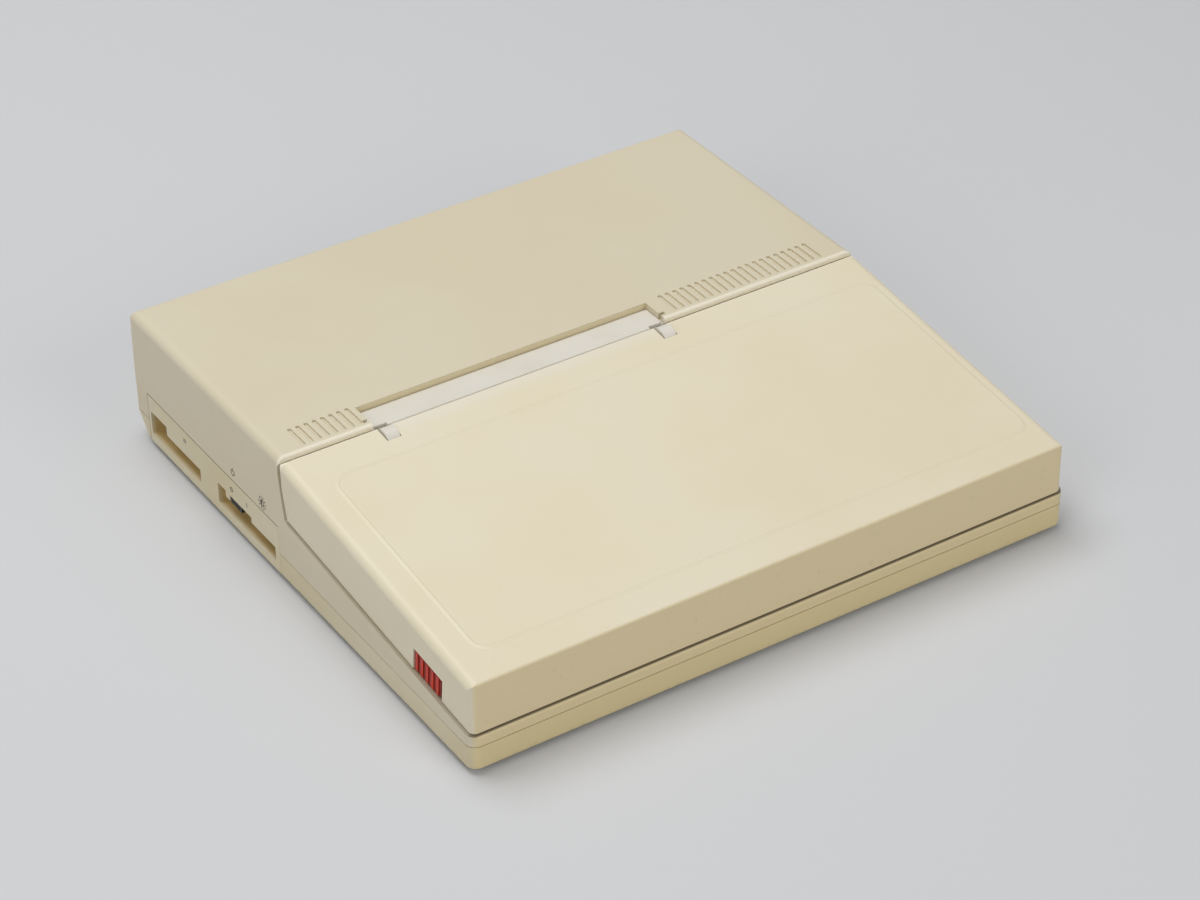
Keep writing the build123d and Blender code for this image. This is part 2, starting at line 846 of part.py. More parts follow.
def latch_window(sign):
    """Opening in the lid's side wall for one latch."""
    low_x, high_x = ordered(sign * (lid_side + 1), sign * (lid_side - lid_wall - 1))
    block(
        (low_x, latch_front - latch_travel - latch_play, -2),
        (high_x, latch_rear + latch_play, latch_high + latch_play),
        deck,
        mode=Mode.SUBTRACT,
    )


def latch(sign, label):
    """Ribbed slide with a hook that reaches under the deck."""
    face = lid_side - latch_recess
    inner = lid_side - lid_wall - latch_play
    with BuildPart() as slide:

        def slab(outer, inside, low_y, high_y, low_z, high_z, mode=Mode.ADD):
            low_x, high_x = ordered(sign * outer, sign * inside)
            block((low_x, low_y, low_z), (high_x, high_y, high_z), deck, mode=mode)

        slab(face - 0.5, inner - flange_thickness, latch_front, latch_rear, latch_low, latch_high)
        fillet(slide.edges().filter_by(Axis.X).sort_by(Axis.Z)[0], latch_corner_radius)
        pitch = (latch_rear - latch_front) / rib_count
        for number in range(rib_count):
            y = latch_front + (number + 0.5) * pitch
            slab(face, face - 1, y - rib_width / 2, y + rib_width / 2, latch_low + 0.8, latch_high - 0.8)
        slab(
            inner,
            inner - flange_thickness,
            latch_front - flange_margin,
            latch_rear + flange_margin,
            latch_low + 0.4,
            latch_high + flange_margin,
        )
        hook_outer = inner - flange_thickness
        slab(hook_outer + 0.1, hook_outer - hook_thickness, hook_front, hook_rear, hook_low, latch_low + 4)
        slab(
            hook_outer + 0.1,
            hook_outer - hook_thickness,
            hook_rear - 0.1,
            hook_rear + barb_reach,
            hook_low,
            hook_low + barb_height,
        )
    keep(slide, label)


def latch_springs():
    """Coil spring in front of each latch."""
    x = lid_side - lid_wall - latch_play - flange_thickness / 2 - 0.6
    start = latch_front - flange_margin - latch_travel - 0.4
    with BuildPart() as springs:
        for sign in (-1, 1):
            origin = deck.from_local_coords(Vector(sign * x, start, (latch_low + latch_high) / 2))
            with BuildLine() as coil:
                Helix(pitch=1.6, height=11.2, radius=1.1, center=origin, direction=-deck.y_dir)
            with BuildSketch(Plane(origin=coil.line @ 0, z_dir=coil.line % 0)) as wire:
                Circle(0.25)
            sweep(wire.sketch, path=coil.line, is_frenet=True)
    keep(springs, "latch_springs")


def lid_bezel():
    """Inner frame of the lid, with the window for the screen."""
    half = lid_side - lid_wall - seat_gap
    notch = lid_side - lid_wall - latch_play - flange_thickness - hook_thickness - 0.8
    with BuildPart() as bezel:
        block((-half, -147.6, bezel_low), (half, 2.0, frame_low), deck, 1.5)
        block(
            (-screen_width / 2, screen_y - screen_depth / 2, bezel_low - 1),
            (screen_width / 2, screen_y + screen_depth / 2, frame_low + 1),
            deck,
            2.0,
            Mode.SUBTRACT,
        )
        for sign in (-1, 1):
            low_x, high_x = ordered(sign * notch, sign * (half + 1))
            block(
                (low_x, latch_front - flange_margin - latch_travel - 1, bezel_low - 1),
                (high_x, latch_rear + flange_margin + 1, frame_low + 1),
                deck,
                mode=Mode.SUBTRACT,
            )
        for at in bezel_screw_places:
            peg(at, screw_radius + 0.2, bezel_low - 1, frame_low + 1, deck, Mode.SUBTRACT)
            peg(at, 2 * screw_radius + 0.2, bezel_low - 1, bezel_low + 1.2, deck, Mode.SUBTRACT)
    keep(bezel, "lid_bezel")


def bezel_screws():
    """Screws that hold the bezel and the screen in the lid."""
    with BuildPart() as screws:
        for at in bezel_screw_places:
            peg(at, 2 * screw_radius, bezel_low + 0.1, bezel_low + 1.2, deck)
            peg(at, screw_radius - 0.27, bezel_low + 0.5, frame_low + 7.0, deck)
            peg(at, 0.8, bezel_low, bezel_low + 0.7, deck, Mode.SUBTRACT)
    keep(screws, "bezel_screws")


def screen_block(margin, low, high, mode=Mode.ADD):
    """Block as large as the screen window plus a margin all round."""
    block(
        (-screen_width / 2 - margin, screen_y - screen_depth / 2 - margin, low),
        (screen_width / 2 + margin, screen_y + screen_depth / 2 + margin, high),
        deck,
        mode=mode,
    )


def display():
    """Liquid-crystal glass in its metal frame, with the driver board behind it."""
    frame_top = frame_low + frame_height
    with BuildPart() as glass:
        screen_block(glass_margin, frame_low, frame_low + glass_thickness)
    keep(glass, "lcd_glass")
    with BuildPart() as frame:
        screen_block(glass_margin + frame_wall, frame_low, frame_top)
        screen_block(glass_margin + fit_gap, frame_low - 1, frame_low + glass_thickness + fit_gap, Mode.SUBTRACT)
        screen_block(glass_margin - 2.0, frame_low, frame_top - 1.0, Mode.SUBTRACT)
    keep(frame, "lcd_frame")
    with BuildPart() as board:
        low = frame_top
        screen_block(0.0, low, low + board_thickness)
        for x in range(-90, 91, 36):
            block((x - 7, screen_y - 10, low), (x + 7, screen_y + 10, low + board_thickness + 1.8), deck)
    keep(board, "lcd_board")


def display_cable():
    """Flat cable between the main board and the display, in a half on each side of the hinge."""
    low_x = ribbon_x - ribbon_width / 2
    high_x = low_x + ribbon_width
    joint = housing_front_y - 0.4
    back = well_back - 6
    with BuildPart() as lower:
        run = (
            (joint, ribbon_height),
            (back, ribbon_height),
            (back, board_height + board_thickness),
            (back + ribbon_thickness, board_height + board_thickness),
            (back + ribbon_thickness, ribbon_height + ribbon_thickness),
            (joint, ribbon_height + ribbon_thickness),
        )
        side_prism(run, low_x, high_x)
    keep(lower, "display_cable_base")
    with BuildPart() as upper:
        end = screen_y + screen_depth / 2
        run = (
            (joint - 0.6, ribbon_height),
            (joint - 0.6, ribbon_height + ribbon_thickness),
            (end + 0.3, ribbon_height + ribbon_thickness),
            (end + 0.3, ribbon_height),
        )
        side_prism(run, low_x, high_x)
    keep(upper, "display_cable_lid")


# Keyboard


function_row = (15 / 13,) * 13
number_row = (1,) * 13 + (2,)
upper_row = (1.5,) + (1,) * 12 + (1.5,)
home_row = (1.75,) + (1,) * 11 + (2.25,)
lower_row = (2.25,) + (1,) * 10 + (1.75, 1)
bottom_left = (1.25, 1, 1.25)
space_key = 6.25
bottom_right = (1.25, 1, 1, 1, 1)


def row_keys(widths, row, start=0.0, depth=key_pitch):
    """Place and size of each key in a row, as (x, y, width, depth)."""
    y = keyboard_front + row * key_pitch + depth / 2
    if row == 5:
        y += function_gap
    keys = []
    for units in widths:
        x = (start + units / 2) * key_pitch - keyboard_width / 2
        keys.append((x, y, units * key_pitch - key_gap, depth - key_gap))
        start += units
    return keys


right_start = sum(bottom_left) + space_key
key_rows = {
    "keys_function": row_keys(function_row, 5, depth=function_depth),
    "keys_number": row_keys(number_row, 4),
    "keys_upper": row_keys(upper_row, 3),
    "keys_home": row_keys(home_row, 2),
    "keys_lower": row_keys(lower_row, 1),
    "keys_bottom": row_keys(bottom_left, 0) + row_keys(bottom_right, 0, right_start),
    "space_bar": row_keys((space_key,), 0, sum(bottom_left)),
}


def keys(label, places):
    """One row of keycaps with their stems."""
    y, depth = places[0][1], places[0][3]
    with BuildPart() as row:
        for x, y, width, depth in places:
            with BuildSketch(deck.offset(key_low)) as outline:
                with Locations((x, y)):
                    RectangleRounded(width, depth, 1.0)
            extrude(outline.sketch, amount=key_height, taper=key_taper)
            half = stem_size / 2
            block((x - half, y - half, stem_low), (x + half, y + half, key_low + 1), deck)
        end = Plane(origin=deck.from_local_coords(Vector(0, y + depth / 2, 0)), x_dir=(1, 0, 0), z_dir=-deck.y_dir)
        centre = key_low + key_height - dish_depth + dish_radius
        for x, y, width, depth in places:
            if width < 3 * key_pitch:
                peg((x, centre), dish_radius, -1, depth + 1, end, Mode.SUBTRACT)
    keep(row, label)


def key_switches():
    """Switch under every key, with a square shaft hole."""
    with BuildPart() as switches:
        for places in key_rows.values():
            for x, y, width, depth in places:
                with BuildSketch(deck.offset(plate_low + plate_thickness)) as outline:
                    with Locations((x, y)):
                        Rectangle(switch_size, min(switch_size, depth))
                        Rectangle(stem_size + 0.6, stem_size + 0.6, mode=Mode.SUBTRACT)
                extrude(outline.sketch, amount=switch_top - plate_low - plate_thickness)
    keep(switches, "key_switches")


def keyboard_block(margin, low, high, mode=Mode.ADD):
    """Block as large as the keyboard plus a margin all round."""
    block(
        (-keyboard_width / 2 - margin, keyboard_front - margin, low),
        (keyboard_width / 2 + margin, keyboard_rear + margin, high),
        deck,
        mode=mode,
    )


def keyboard_frame():
    """Steel plate with a rim that carries the switches, and the board under it."""
    with BuildPart() as plate:
        keyboard_block(plate_margin, plate_low, -wall)
        keyboard_block(opening_margin + 0.2, plate_low + plate_thickness, 0, Mode.SUBTRACT)
    keep(plate, "keyboard_plate")
    with BuildPart() as board:
        keyboard_block(plate_margin - 1.0, board_low, plate_low)
    keep(board, "keyboard_board")


def status_lamps():
    """Small round lenses set in the strip behind the keys."""
    with BuildPart() as lamps:
        for number in range(lamp_count):
            at = (lamp_x + number * lamp_pitch, lamp_y)
            peg(at, lamp_radius, -wall - 2.5, 0.3, deck)
            peg(at, lamp_radius + 0.6, -wall - 2.5, -wall, deck)
        fillet(lamps.faces().filter_by(deck.offset(0)).sort_by(Axis.Z)[-lamp_count:].edges(), 0.25)
    keep(lamps, "status_lamps")


# Boards, battery and speaker


def main_board():
    """Main circuit board, its chips and its capacitors."""
    top = board_height + board_thickness
    with BuildPart() as board:
        block((-70, -25, board_height), (145, 130, top))
        for at in drive_posts:
            peg(at, boss_radius + 0.5, board_height - 1, top + 1, mode=Mode.SUBTRACT)
    keep(board, "main_board")
    with BuildPart() as chips:
        for x, y, width, depth in ((-30, -4, 27, 27), (20, 5, 34, 15), (64, 5, 34, 15), (104, 5, 24, 24)):
            block((x - width / 2, y - depth / 2, top), (x + width / 2, y + depth / 2, top + 3.4))
        for row in range(3):
            for column in range(4):
                x, y = -48 + column * 20, 50 + row * 22
                block((x - 4, y - 9, top), (x + 4, y + 9, top + 3.2))
    keep(chips, "main_chips")
    with BuildPart() as capacitors:
        for at in ((-60, -4), (-60, 12), (125, -16), (125, 28)):
            peg(at, 4.0, top, top + 9)
    keep(capacitors, "capacitors")


def power_board():
    """Supply board beside the main board, with its coil, transformer and heat sink."""
    top = board_height + board_thickness
    with BuildPart() as board:
        block((-130, -25, board_height), (-74, 27, top))
    keep(board, "power_board")
    with BuildPart() as parts:
        block((-112, -14, top), (-90, 8, top + 14))
        peg((-119, 7), 5.0, top, top + 12)
        peg((-119, -7), 4.0, top, top + 10)
        block((-86, -14, top), (-84, 12, top + 11))
    keep(parts, "power_parts")


def battery():
    """Row of round cells in a tray."""
    pitch = 2 * cell_radius + cell_gap
    length = cell_count * pitch + cell_gap
    low = (battery_left - 1.2, battery_front - 1.2, floor)
    high = (battery_left + cell_length + 1.2, battery_front + length + 1.2, floor + 9)
    with BuildPart() as tray:
        block(low, high)
        block(
            (battery_left - 0.2, battery_front, floor + 1.2),
            (battery_left + cell_length + 0.2, battery_front + length, floor + 10),
            mode=Mode.SUBTRACT,
        )
    keep(tray, "battery_tray")
    with BuildPart() as cells:
        for number in range(cell_count):
            at = (battery_front + cell_gap + cell_radius + number * pitch, floor + 1.2 + cell_radius)
            peg(at, cell_radius, battery_left, battery_left + cell_length - 1.5, Plane.YZ)
            peg(at, 4.0, battery_left, battery_left + cell_length, Plane.YZ)
    keep(cells, "battery_cells")


def speaker():
    """Small speaker under the left grooves."""
    under = case_height - wall
    at = (left_groove_start + (left_groove_count - 1) * groove_pitch / 2, 27.5)
    with BuildPart() as cone:
        peg(at, 14.0, under - 2.5, under)
        peg(at, 7.0, under - 8.0, under - 2.5)
        peg(at, 11.5, under - 1.5, under + 1, mode=Mode.SUBTRACT)
    keep(cone, "speaker")


# Disk drive


def drive_block(margin, low_x, high_x, low, high, mode=Mode.ADD):
    """Block across the drive's width, drawn in by a margin on both sides."""
    block(
        (low_x, drive_front + margin, low),
        (high_x, drive_front + drive_width - margin, high),
        mode=mode,
    )


def drive_chassis():
    """Bracket, frame, front bezel and eject button of the disk drive."""
    with BuildPart() as bracket:
        drive_block(-1.0, 26, 140, drive_low - plate_thickness, drive_low)
        drive_block(25.0, 46, 120, drive_low - plate_thickness - 1, drive_low + 1, Mode.SUBTRACT)
    keep(bracket, "drive_bracket")
    with BuildPart() as frame:
        drive_block(0, drive_left, drive_right - fit_gap, drive_low, drive_top)
        drive_block(drive_wall, drive_left + drive_wall, side, drive_low + drive_wall, drive_top - 1.2, Mode.SUBTRACT)
        drive_block(25.0, drive_left + 25, drive_right - 25, drive_top - 2, drive_top + 1, Mode.SUBTRACT)
    keep(frame, "drive_frame")
    with BuildPart() as bezel:
        drive_block(0, drive_right, bezel_face, bezel_foot, drive_top)
        fillet(bezel.faces().sort_by(Axis.X)[-1].edges(), 0.6)
        margin = (drive_width - disk_slot_length) / 2
        high = disk_slot_low + disk_slot_height
        drive_block(margin, drive_right - 1, bezel_face + 1, disk_slot_low, high, Mode.SUBTRACT)
        block(
            (drive_right - 1, drive_middle - 12, disk_slot_low - 4),
            (bezel_face + 1, drive_middle + 12, high + 3),
            mode=Mode.SUBTRACT,
        )
        block(
            (drive_right - 1, eject_y - 6.4, eject_height - 2.9),
            (bezel_face + 1, eject_y + 6.4, eject_height + 2.9),
            mode=Mode.SUBTRACT,
        )
    keep(bezel, "drive_bezel")
    with BuildPart() as button:
        back = drive_right - eject_travel - 2.5
        block((back, eject_y - 6, eject_height - 2.5), (side - 0.2, eject_y + 6, eject_height + 2.5))
        fillet(button.faces().sort_by(Axis.X)[-1].edges(), 0.5)
        block((back - 1.5, eject_y - 7.5, eject_height - 3.5), (back + 1, eject_y + 7.5, eject_height + 3.5))
    keep(button, "eject_button")


def drive_mechanism():
    """Rotor that turns the disk, and the head carriage on its two rods."""
    inside = drive_low + drive_wall
    with BuildPart() as rotor:
        peg((spindle_x, drive_middle), rotor_radius, inside + 0.6, inside + 8)
        peg((spindle_x, drive_middle), 8.0, inside + 8, disk_slot_low - 1)
        peg((spindle_x + 5, drive_middle), 1.0, inside + 8, disk_slot_low - 0.2)
        peg((spindle_x, drive_middle), 2.0, inside, inside + 1)
    keep(rotor, "drive_rotor")
    rod_height = inside + 6
    rods = [(drive_middle - rod_spread, rod_height), (drive_middle + rod_spread, rod_height)]
    start = drive_left + drive_wall
    with BuildPart() as carriage:
        block((start + 4, drive_middle - 20, inside + 2), (start + 14, drive_middle + 20, inside + 10))
        block((start + 4, drive_middle - 6, inside + 10), (start + 12, drive_middle + 6, disk_slot_low + 8))
        block((start + 4, drive_middle - 5, disk_slot_low + 6), (start + 32, drive_middle + 5, disk_slot_low + 8))
        for at in rods:
            peg(at, rod_radius + 0.1, start, start + 40, Plane.YZ, Mode.SUBTRACT)
    keep(carriage, "head_carriage")
    with BuildPart() as guides:
        for at in rods:
            peg(at, rod_radius, start, start + 14 + carriage_travel + 3, Plane.YZ)
            block(
                (start + 14 + carriage_travel + 1, at[0] - 2, inside),
                (start + 14 + carriage_travel + 3, at[0] + 2, rod_height + 2.5),
            )
    keep(guides, "carriage_rods")


# Rear panel


def rear_panel():
    """Pan that fills the rear recess and carries the sockets."""
    inner = rear - recess_depth
    with BuildPart() as panel:
        rear_block(0.25, inner - rim_wall, rear - rear_lean)
        rear_block(rim_wall, inner, rear + 1, Mode.SUBTRACT)
        flange_back = rear - wall - rear_lean
        with BuildSketch(Plane.XZ.offset(-flange_back)) as flange:
            with Locations((0, (recess_low + recess_high) / 2)):
                Rectangle(2 * recess_half + 6, recess_high - recess_low + 2)
                Rectangle(2 * recess_half - 2, recess_high - recess_low - 2, mode=Mode.SUBTRACT)
        extrude(flange.sketch, amount=rim_wall)
        for x, width in ((wide_socket_x, wide_socket_width), (small_socket_x, small_socket_width)):
            socket_outline(x, width, 0.1, inner - rim_wall - 1, inner + 1, Mode.SUBTRACT)
            for sign in (-1, 1):
                at = (x + sign * (width / 2 + 4.0), (recess_low + recess_high) / 2)
                peg(at, 1.5, -(inner + 1), -(inner - rim_wall - 1), Plane.XZ, Mode.SUBTRACT)
        at = (jack_x, (recess_low + recess_high) / 2)
        peg(at, jack_radius + fit_gap, -(inner + 1), -(inner - rim_wall - 1), Plane.XZ, Mode.SUBTRACT)
    keep(panel, "rear_panel")


def socket_outline(x, width, gap, low_y, high_y, mode=Mode.ADD):
    """Block with the tapered outline of a multi-pin socket, between two depths."""
    middle = (recess_low + recess_high) / 2
    half, lean, rise = width / 2 + gap, 1.2, socket_height / 2 + gap
    corners = (
        (x - half + lean, middle - rise),
        (x + half - lean, middle - rise),
        (x + half, middle + rise),
        (x - half, middle + rise),
    )
    prism(corners, Plane.XZ.offset(-high_y), high_y - low_y, dict.fromkeys(four_corners, 1.5), mode)


def socket(label, x, width, pins):
    """Multi-pin socket with a metal shell, two rows of holes and its screw posts."""
    inner = rear - recess_depth
    middle = (recess_low + recess_high) / 2
    with BuildPart() as part:
        socket_outline(x, width, 0.0, inner - 8, inner + 5)
        block((x - width / 2 - 7, inner - 6, middle - 6), (x + width / 2 + 7, inner - rim_wall, middle + 6))
        for sign in (-1, 1):
            at = (x + sign * (width / 2 + 4.0), middle)
            peg(at, 1.45, -(inner + 4), -(inner - 3), Plane.XZ)
        for row, count in ((1, pins - pins // 2), (-1, pins // 2)):
            with BuildSketch(Plane.XZ.offset(-(inner + 5))) as holes:
                with Locations((x, middle + row * 1.4)):
                    with GridLocations(2.76, 1, count, 1):
                        Circle(0.5)
            extrude(holes.sketch, amount=5, mode=Mode.SUBTRACT)
    keep(part, label)


def video_jack():
    """Round jack for a monitor lead."""
    inner = rear - recess_depth
    at = (jack_x, (recess_low + recess_high) / 2)
    with BuildPart() as jack:
        peg(at, jack_radius, -(inner + 4), -(inner - 8), Plane.XZ)
        peg(at, jack_radius + 2, -(inner - rim_wall), -(inner - 8), Plane.XZ)
        peg(at, jack_radius - 1.2, -(inner + 5), -(inner - 5), Plane.XZ, Mode.SUBTRACT)
        peg(at, 0.8, -(inner + 3), -(inner - 6), Plane.XZ)
    keep(jack, "video_jack")


bottom_case()
rubber_feet()
case_screws()
top_case()
side_panel_left()
side_panel_right()
power_switch()
contrast_control()
dc_inlet()
hinge_cover()
hinge_bracket(knuckle_places[0], 1, "hinge_bracket_left")
hinge_bracket(knuckle_places[1], -1, "hinge_bracket_right")
hinge_pins()
hinge_washers()
hinge_screws()
lid_cover()
lid_bezel()
bezel_screws()
latch(-1, "latch_left")
latch(1, "latch_right")
latch_springs()
display()
display_cable()
for row_label, row_places in key_rows.items():
    keys(row_label, row_places)
key_switches()
keyboard_frame()
status_lamps()
main_board()
power_board()
battery()
speaker()
drive_chassis()
drive_mechanism()
rear_panel()
socket("socket_wide", wide_socket_x, wide_socket_width, 25)
socket("socket_small", small_socket_x, small_socket_width, 9)
video_jack()
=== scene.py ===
import math

import bpy
import numpy as np
from mathutils import Matrix, Vector


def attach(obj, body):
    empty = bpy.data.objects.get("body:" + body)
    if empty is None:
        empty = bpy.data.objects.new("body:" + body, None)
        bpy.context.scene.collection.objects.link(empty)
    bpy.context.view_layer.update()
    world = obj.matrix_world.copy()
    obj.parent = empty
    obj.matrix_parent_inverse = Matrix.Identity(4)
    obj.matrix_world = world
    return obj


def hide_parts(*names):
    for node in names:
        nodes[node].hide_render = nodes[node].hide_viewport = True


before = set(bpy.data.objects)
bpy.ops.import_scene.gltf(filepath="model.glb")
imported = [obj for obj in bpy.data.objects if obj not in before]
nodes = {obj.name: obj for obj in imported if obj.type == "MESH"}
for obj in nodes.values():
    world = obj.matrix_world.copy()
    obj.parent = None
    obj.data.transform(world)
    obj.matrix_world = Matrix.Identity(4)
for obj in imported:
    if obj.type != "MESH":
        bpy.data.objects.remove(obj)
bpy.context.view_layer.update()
mm = 0.001

# the deck slopes: its own axes start on it, above the middle of the case
deck = {"frontY": -152.0, "frontZ": 20.2, "backY": 3.9, "backZ": 36.0}
slope = math.atan((deck["backZ"] - deck["frontZ"]) / (deck["backY"] - deck["frontY"]))
deckOrigin = np.array([0.0, 0.0, deck["frontZ"] - deck["frontY"] * math.tan(slope)])
deckAcross = np.array([1.0, 0.0, 0.0])
deckBack = np.array([0.0, math.cos(slope), math.sin(slope)])
deckUp = np.array([0.0, -math.sin(slope), math.cos(slope)])


def onDeck(points):
    # from millimetres in the deck's own axes to metres in the shared frame
    p = np.asarray(points, float)
    placed = deckOrigin + p[..., :1] * deckAcross + p[..., 1:2] * deckBack + p[..., 2:3] * deckUp
    return placed * mm


# colours and materials


def toLinear(hexText):
    # sRGB hex to linear RGBA
    values = [int(hexText[i:i + 2], 16) / 255 for i in (1, 3, 5)]
    linear = (v / 12.92 if v <= 0.04045 else ((v + 0.055) / 1.055) ** 2.4 for v in values)
    return tuple(linear) + (1.0,)


def addNode(tree, kind, settings=None, links=None):
    # one shader node, its settings, and what is plugged into it
    node = tree.nodes.new("ShaderNode" + kind)
    for name, value in (settings or {}).items():
        if isinstance(name, int) or name in node.inputs:
            node.inputs[name].default_value = value
        else:
            setattr(node, name, value)
    for socket, source in (links or {}).items():
        tree.links.new(source, node.inputs[socket])
    return node


def startMaterial(name):
    # a material with one plain surface, and the piece's own coordinates to draw on it with
    material = bpy.data.materials.new(name)
    material.use_nodes = True
    tree = material.node_tree
    tree.nodes.clear()
    surface = addNode(tree, "BsdfPrincipled")
    addNode(tree, "OutputMaterial", links={"Surface": surface.outputs[0]})
    place = addNode(tree, "TexCoord").outputs["Object"]
    return material, tree, surface, place


def setInputs(surface, values):
    for name, value in values.items():
        surface.inputs[name].default_value = value


def coordinates(tree, place):
    # x, y and z of a place, each an output
    return tuple(addNode(tree, "SeparateXYZ", links={0: place}).outputs)


def maths(tree, operation, first, second=None):
    # first is an output, second an output, a number or nothing
    node = addNode(tree, "Math", {"operation": operation}, {0: first})
    if isinstance(second, float):
        node.inputs[1].default_value = second
    elif second is not None:
        tree.links.new(second, node.inputs[1])
    return node.outputs[0]


def multiply(tree, first, second):
    return maths(tree, "MULTIPLY", first, second)


def between(tree, value, low, high):
    # 1 between two places, 0 outside them
    above = maths(tree, "GREATER_THAN", value, low)
    return multiply(tree, above, maths(tree, "LESS_THAN", value, high))


def ramp(tree, factor, low, high, start=0.0, end=1.0):
    # a smooth step from start, where factor is low, to end, where it is high
    settings = {
        "interpolation_type": "SMOOTHSTEP",
        "From Min": low, "From Max": high, "To Min": start, "To Max": end,
    }
    return addNode(tree, "MapRange", settings, {"Value": factor}).outputs[0]


def noise(tree, place, size, detail, roughness=0.5):
    # noise with features about so many millimetres across
    settings = {"Scale": 1 / (size * mm), "Detail": detail, "Roughness": roughness}
    return addNode(tree, "TexNoise", settings, {"Vector": place}).outputs[0]


def blendColours(tree, factor, first, second):
    # mix of two colours, each a hex text or an output
    node = addNode(tree, "Mix", {"data_type": "RGBA", "blend_type": "MIX"}, {0: factor})
    for socket, colour in ((6, first), (7, second)):
        if isinstance(colour, str):
            node.inputs[socket].default_value = toLinear(colour)
        else:
            tree.links.new(colour, node.inputs[socket])
    return node.outputs[2]


grainDepth = 0.05  # millimetres


def addGrain(tree, surface, height, strength):
    # a fine relief that only the light shows
    settings = {"Strength": strength, "Distance": grainDepth * mm}
    bump = addNode(tree, "Bump", settings, {"Height": height})
    tree.links.new(bump.outputs[0], surface.inputs["Normal"])


# sizes in millimetres, and for each noise the part of its range that counts
plasticPattern = {
    "patches": (0.35, 0.68), "fleckSize": 2.2, "flecks": (0.63, 0.78),
    "clusterSize": 31, "clusters": (0.45, 0.7), "handledSize": 23, "handled": (0.3, 0.7),
    "roughSpread": 0.025, "refraction": 1.53,
}


def mouldedPlastic(name, look, extra=None):
    # injection-moulded: broad yellowing, fine flecks of grime and a spark-eroded grain
    pattern = plasticPattern
    material, tree, surface, place = startMaterial(name)
    patches = ramp(tree, noise(tree, place, look["patchSize"], 3.0, 0.55), *pattern["patches"])
    colour = blendColours(tree, patches, look["base"], look["aged"])
    flecks = ramp(tree, noise(tree, place, pattern["fleckSize"], 4.0, 0.7), *pattern["flecks"])
    clusters = ramp(tree, noise(tree, place, pattern["clusterSize"], 2.0), *pattern["clusters"])
    grime = multiply(tree, multiply(tree, flecks, clusters), look["grime"])
    colour = blendColours(tree, grime, colour, look["dirt"])
    if extra:
        colour = extra(tree, place, colour)
    tree.links.new(colour, surface.inputs["Base Color"])
    handled = noise(tree, place, pattern["handledSize"], 3.0)
    spread = pattern["roughSpread"]
    rough = ramp(tree, handled, *pattern["handled"], look["rough"] - spread, look["rough"] + spread)
    tree.links.new(rough, surface.inputs["Roughness"])
    addGrain(tree, surface, noise(tree, place, look["grain"], 2.0, 0.6), look["relief"])
    setInputs(surface, {"IOR": pattern["refraction"]})
    return material


# most grain is drawn at about 1 mm, because the real 0.3 mm one is finer than a pixel
lookColumns = ("base", "aged", "dirt", "grime", "patchSize", "grain", "rough", "relief")
plasticRows = {
    # ABS, yellowed by light
    "caseAbs": ("#d2c8af", "#d0c5aa", "#8d7c5c", 0.3, 85, 1.1, 0.52, 0.35),
    "trayAbs": ("#d4c9ac", "#cfc2a1", "#7d6a44", 0.45, 60, 1.1, 0.54, 0.4),
    "lidAbs": ("#ded5bc", "#dcd1b5", "#93815e", 0.3, 90, 1.1, 0.5, 0.35),
    "hingeAbs": ("#d9d4c9", "#d3cdbf", "#97907c", 0.25, 40, 0.9, 0.46, 0.3),
    "panelAbs": ("#d6cbae", "#d0c3a0", "#8a7852", 0.4, 50, 1.1, 0.5, 0.3),
    "driveAbs": ("#cdc3a9", "#c5b999", "#857456", 0.3, 40, 0.9, 0.52, 0.3),
    # ABS coloured through, red and black
    "latchAbs": ("#c82b00", "#b41f00", "#3d0d06", 0.5, 9, 0.8, 0.5, 0.3),
    "blackAbs": ("#1b1b1a", "#232220", "#4a4740", 0.3, 20, 0.7, 0.45, 0.3),
    # PBT, which keeps its colour better
    "keyPbt": ("#e0d9c5", "#dad1b8", "#9a8b6c", 0.25, 30, 0.6, 0.58, 0.3),
    "keyPbtBrown": ("#a69c88", "#9d917a", "#655c4a", 0.25, 30, 0.6, 0.58, 0.3),
    # shrunk PVC sleeve of a cell, and polyimide film
    "sleevePvc": ("#2a5f8f", "#26557f", "#18324a", 0.3, 15, 1.0, 0.4, 0.2),
    "ribbonPolyimide": ("#b77a28", "#a96d20", "#5f3c10", 0.2, 12, 0.9, 0.38, 0.1),
}

# where the stains, painted highlights and painted shade of a piece begin and end, in metres in the
# shared frame
panelShadeAndDust = {
    "pocketDepth": (-0.1552, -0.1530), "pocket": "#c9b079",
    "seamUp": (0.02885, 0.02900), "seamShare": 0.8, "seam": "#7d6d4b",
}
lidStainsAndHighlights = {
    "faceBack": (-0.1508, -0.1499), "face": "#dccba2",
    "rollBack": (0.0046, 0.0066), "rollUp": (0.0595, 0.0620), "rollShare": 0.75, "roll": "#f1ead6",
    "hingeHighlightAcross": (-0.0985, 0.0395), "hingeHighlightBack": (-0.004, 0.005),
    "hingeHighlightShare": 0.5, "hingeHighlight": "#e0dacb",
    "edgeBack": (-0.1490, -0.1440), "handSize": 5, "hands": (0.6, 0.78),
    "handShare": 0.3, "hand": "#a89a78",
}
caseStainsAndPaintedLight = {
    "faceBack": (-0.1520, -0.1500), "face": "#dac89b",
    "lipBack": (0.0090, 0.0108), "lipUp": (0.0600, 0.0625), "lipShare": 0.65, "lipHighlight": "#f3ecd9",
    "wallAcross": (-0.1068, 0.0478), "wallBack": (0.0236, 0.0250), "wallUp": (0.0655, 0.0659),
    "wallShare": 0.55, "wall": "#e3d2a4",
    "dustAndShadeUp": (-0.42, -0.1),  # millimetres from the deck's level
    "dustAndShadeAcross": (0.1522, 0.1528), "dustAndShadeFront": (-0.1498, -0.1492),
    "dustAndShadeFades": (-0.1500, -0.1480),
    "dustAndShadeInFront": 0.85, "dustAndShadeAtSides": 0.45, "lidEnds": (0.002, 0.004), "dustAndShade": "#5f5138",
}
